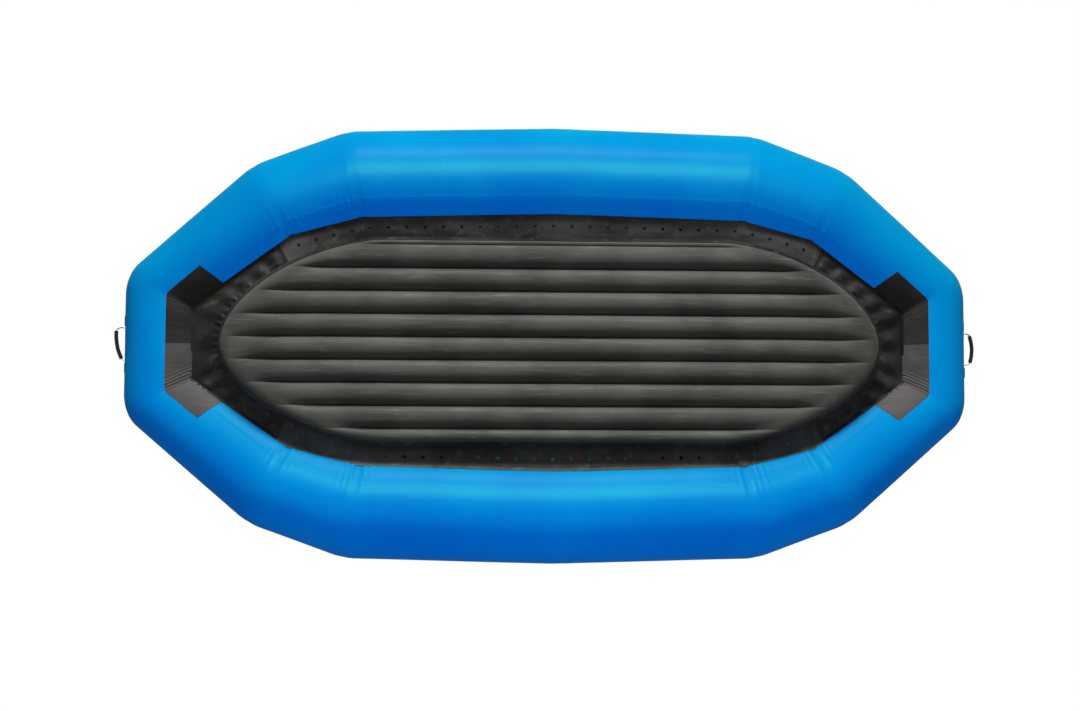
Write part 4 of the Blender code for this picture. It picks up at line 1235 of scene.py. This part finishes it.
def makeRingPatch(name, end, side):
    # A disc of cloth round the tube, stepped at its rim
    turns = np.linspace(0.0, math.tau, 49)
    rings = np.array([0.0, 0.15, 0.3, 0.45, 0.6, 0.75, 0.88, 0.9, 0.995, 1.0])

    def place(u, v):
        along, upward = np.cos(u) * v * lashing["patch"], np.sin(u) * v * lashing["patch"]
        lift = lashing["cloth"] - 0.0008 * (v > 0.89) - 0.0005 * (v > 0.999)
        station = lashing["station"] + along / sections[1].centre[0]
        return mirrored(tubePoint(station, lashing["angle"] + upward / sections[0].radius, lift), end, side)
    return clothGrid(name, turns, rings, place, lashing["wall"], (0.03, lashing["patch"]),
                     flip=end * side < 0, closed=True)


def makeKeeper(name, frameAt):
    # Webbing folded over the ring's bar and sewn down on both sides
    half, foot = lashing["keeper"] / 2, lashing["keeperFoot"]
    turns = np.linspace(0.0, math.pi, 13)
    reach = lashing["wire"] + 0.0012
    over = [(math.cos(t) * reach, lashing["bar"] + math.sin(t) * reach) for t in turns]
    path = np.array([*foot, *over, *[(-along, off) for along, off in foot[::-1]]])
    run = runAlong(path)

    def place(u, v):
        return np.stack([u * half, np.interp(v, run, path[:, 0]), np.interp(v, run, path[:, 1])], -1)
    piece = clothGrid(name, np.linspace(-1, 1, 9), run, place, lashing["wall"], (half, 1.0), offset=0.0)
    return seat(piece, frameAt)


def makeDee(name, frameAt):
    # Four points of a circle, pulled to a straight bar and a round bow
    pick()
    half, drop = lashing["half"], lashing["drop"]
    bpy.ops.curve.primitive_bezier_circle_add(radius=half)
    ring = bpy.context.object
    ring.name = name
    pull = half * 0.5523
    low = -(drop - half) - pull
    spots = [((-half, low), (-half, 0.0), (-half + 0.001, 0.0)),
             ((-half * 0.5, 0.0), (0.0, 0.0), (half * 0.5, 0.0)),
             ((half - 0.001, 0.0), (half, 0.0), (half, low)),
             ((pull, -drop), (0.0, -drop), (-pull, -drop))]
    for point, (left, middle, right) in zip(ring.data.splines[0].bezier_points, spots):
        point.handle_left_type = point.handle_right_type = "FREE"
        point.co = (*middle, 0.0)
        point.handle_left, point.handle_right = (*left, 0.0), (*right, 0.0)
    ring.data.bevel_depth, ring.data.bevel_resolution, ring.data.resolution_u = lashing["wire"], 4, 14
    bpy.ops.object.convert(target="MESH")
    piece = bpy.context.object
    bpy.ops.object.shade_smooth()
    return seat(piece, frameAt @ Matrix.Translation((0.0, 0.0, lashing["bar"])))


def makeLashings():
    for name, (end, side) in corners.items():
        node = f"lashing_ring_{name}"
        at = faceFrame(lashing["station"], lashing["angle"], end, side)
        patch = makeRingPatch(f"ring_patch_{name}", end, side)
        dress(patch, "skirt_fabric", f"{node}_patch", slot="webbing")
        dress(makeKeeper(f"ring_keeper_{name}", at), "webbing", f"{node}_patch")
        dress(makeDee(f"ring_{name}", at), "ring_steel", node, body=node)


makeLashings()
print("lashing rings fitted")


# Carry handles

handle = {
    "angle": math.radians(-11.25), "strapWide": 0.025, "strap": 0.0024,
    "gripHigh": 0.0092, "gripWide": 0.0148, "gripRibs": 12, "gripRib": 0.045,
    "foot": 0.080, "footLong": 0.017, "footHigh": 0.024,
    "footLift": 0.0026, "footStep": 0.0008, "footWall": 0.0016,
    "paths": {  # along the tube and off it; the grip runs between the numbered points
        "bow": {"grip": (3, 7), "points": [
            (-0.0795, 0.004), (-0.081, 0.012), (-0.078, 0.021), (-0.070, 0.029), (-0.035, 0.0375),
            (0.0, 0.0405), (0.035, 0.0375), (0.066, 0.030), (0.075, 0.021), (0.079, 0.011),
            (0.0795, 0.004)]},
        "stern": {"grip": (2, 6), "points": [
            (-0.080, 0.004), (-0.078, 0.009), (-0.072, 0.015), (-0.046, 0.026), (-0.016, 0.0355),
            (0.028, 0.0420), (0.066, 0.0420), (0.075, 0.036), (0.081, 0.026), (0.0825, 0.014),
            (0.080, 0.004)]},
    },
}


def smoothPath(points, count=90):
    # A smooth curve through the points: how many points along each sample is, and where
    points = np.array(points)
    ahead = np.vstack([2 * points[0] - points[1], points, 2 * points[-1] - points[-2]])
    shares = np.linspace(0, len(points) - 1, count)
    k = np.minimum(shares.astype(int), len(points) - 2)
    t = (shares - k)[:, None]
    a, b, c, d = ahead[k], ahead[k + 1], ahead[k + 2], ahead[k + 3]
    bend, twist = 2 * a - 5 * b + 4 * c - d, 3 * b - a - 3 * c + d
    return shares, 0.5 * (2 * b + (c - a) * t + bend * t ** 2 + twist * t ** 3)


def alongPath(path, share):
    # The place on a path, and the way off it
    shares, line = path
    spot, ahead, back = [np.stack([np.interp(share + step, shares, line[:, k]) for k in (0, 1)], -1)
                         for step in (0.0, 0.02, -0.02)]
    way = (ahead - back) / np.linalg.norm(ahead - back, axis=-1)[..., None]
    return spot, np.stack([-way[..., 1], way[..., 0]], -1)


def makeHandles():
    for name, end in ends.items():
        points, (start, stop) = handle["paths"][name]["points"], handle["paths"][name]["grip"]
        path = smoothPath(points)
        at = faceFrame(lastStation, handle["angle"], end, 1)
        body = f"{name}_handle"

        def strapAt(u, v):
            spot, _ = alongPath(path, v)
            return np.stack([spot[..., 0], u * handle["strapWide"] / 2, spot[..., 1]], -1)

        def gripAt(u, v):
            spot, out = alongPath(path, np.clip(v, start, stop))
            closing = np.where((v < start) | (v > stop), 0.0, 1.0)
            ribs = 1 + handle["gripRib"] * np.cos(u * handle["gripRibs"])
            swell = np.minimum(1.0, np.sqrt(np.clip(np.minimum(v - start, stop - v), 0, 1) * 9) * 0.25 + 0.78)
            high = handle["gripHigh"] * np.sin(u) * ribs * closing * swell
            wide = handle["gripWide"] * np.cos(u) * ribs * closing * swell
            return np.stack([spot[..., 0] + out[..., 0] * high, wide, spot[..., 1] + out[..., 1] * high], -1)
        lines = np.linspace(0, len(points) - 1, 70)
        strap = clothGrid(f"handle_strap_{name}", np.linspace(-1, 1, 7), lines, strapAt, handle["strap"],
                          (0.0125, 0.02), flip=True, offset=0.0)
        dress(seat(strap, at), "webbing", f"{name}_handle_strap", body=body)
        inside = start + (stop - start) * (0.5 - 0.5 * np.cos(np.linspace(0, math.pi, 46)))
        lines = np.concatenate([[start - 0.01], inside, [stop + 0.01]])
        grip = clothGrid(f"handle_grip_{name}", np.linspace(0, math.tau, 73), lines, gripAt, 0.0,
                         (0.01, 0.03), flip=True, closed=True)
        dress(seat(grip, at), "grip_rubber", f"{name}_handle_grip", body=body)
        makeHandleFeet(name, end)


def makeHandleFeet(name, end):
    # A doubled tab of tube cloth under each foot, glued round the tube
    last = sections[-2]  # the last bend before the middle of the end
    for label, across in {"near": handle["foot"], "far": -handle["foot"]}.items():
        def place(u, v):
            station = lastStation - np.abs(across + u * handle["footLong"]) / last.centre[1]
            lift = handle["footLift"] - handle["footStep"] * (np.abs(u) > 0.9)
            spot = tubePoint(station, handle["angle"] + v * handle["footHigh"] / last.radius, lift)
            return mirrored(spot, end, np.sign(across) * end)
        lines = np.linspace(-1, 1, 9)
        piece = clothGrid(f"handle_foot_{name}_{label}", lines, lines, place, handle["footWall"],
                          (handle["footLong"], handle["footHigh"]), flip=across > 0)
        dress(piece, "tube_fabric")


makeHandles()
print("handles fitted")


# The frame's own inner solids, and what the coloured lamps reach

def dressInside():
    for node in frame["nodes"]:
        kind = "baffle_fabric" if node.startswith("baffle_") else "web_fabric"
        if node.startswith(("baffle_", "floor_web_")):
            for slot in bpy.data.objects[node].material_slots:
                slot.material = fabrics[kind]


def shineOnTubes():
    # The coloured lamps reach the tubes alone, so the dark cloth stays neutral
    lit = bpy.data.collections.new("tubes_lit_blue")
    for piece in bpy.data.objects:
        if piece.name.startswith(light["tubePieces"]):
            lit.objects.link(piece)
    for name in light["tubesOnly"]:
        lamps[name].light_linking.receiver_collection = lit


dressInside()
shineOnTubes()
print("inner cloth and lamps set")
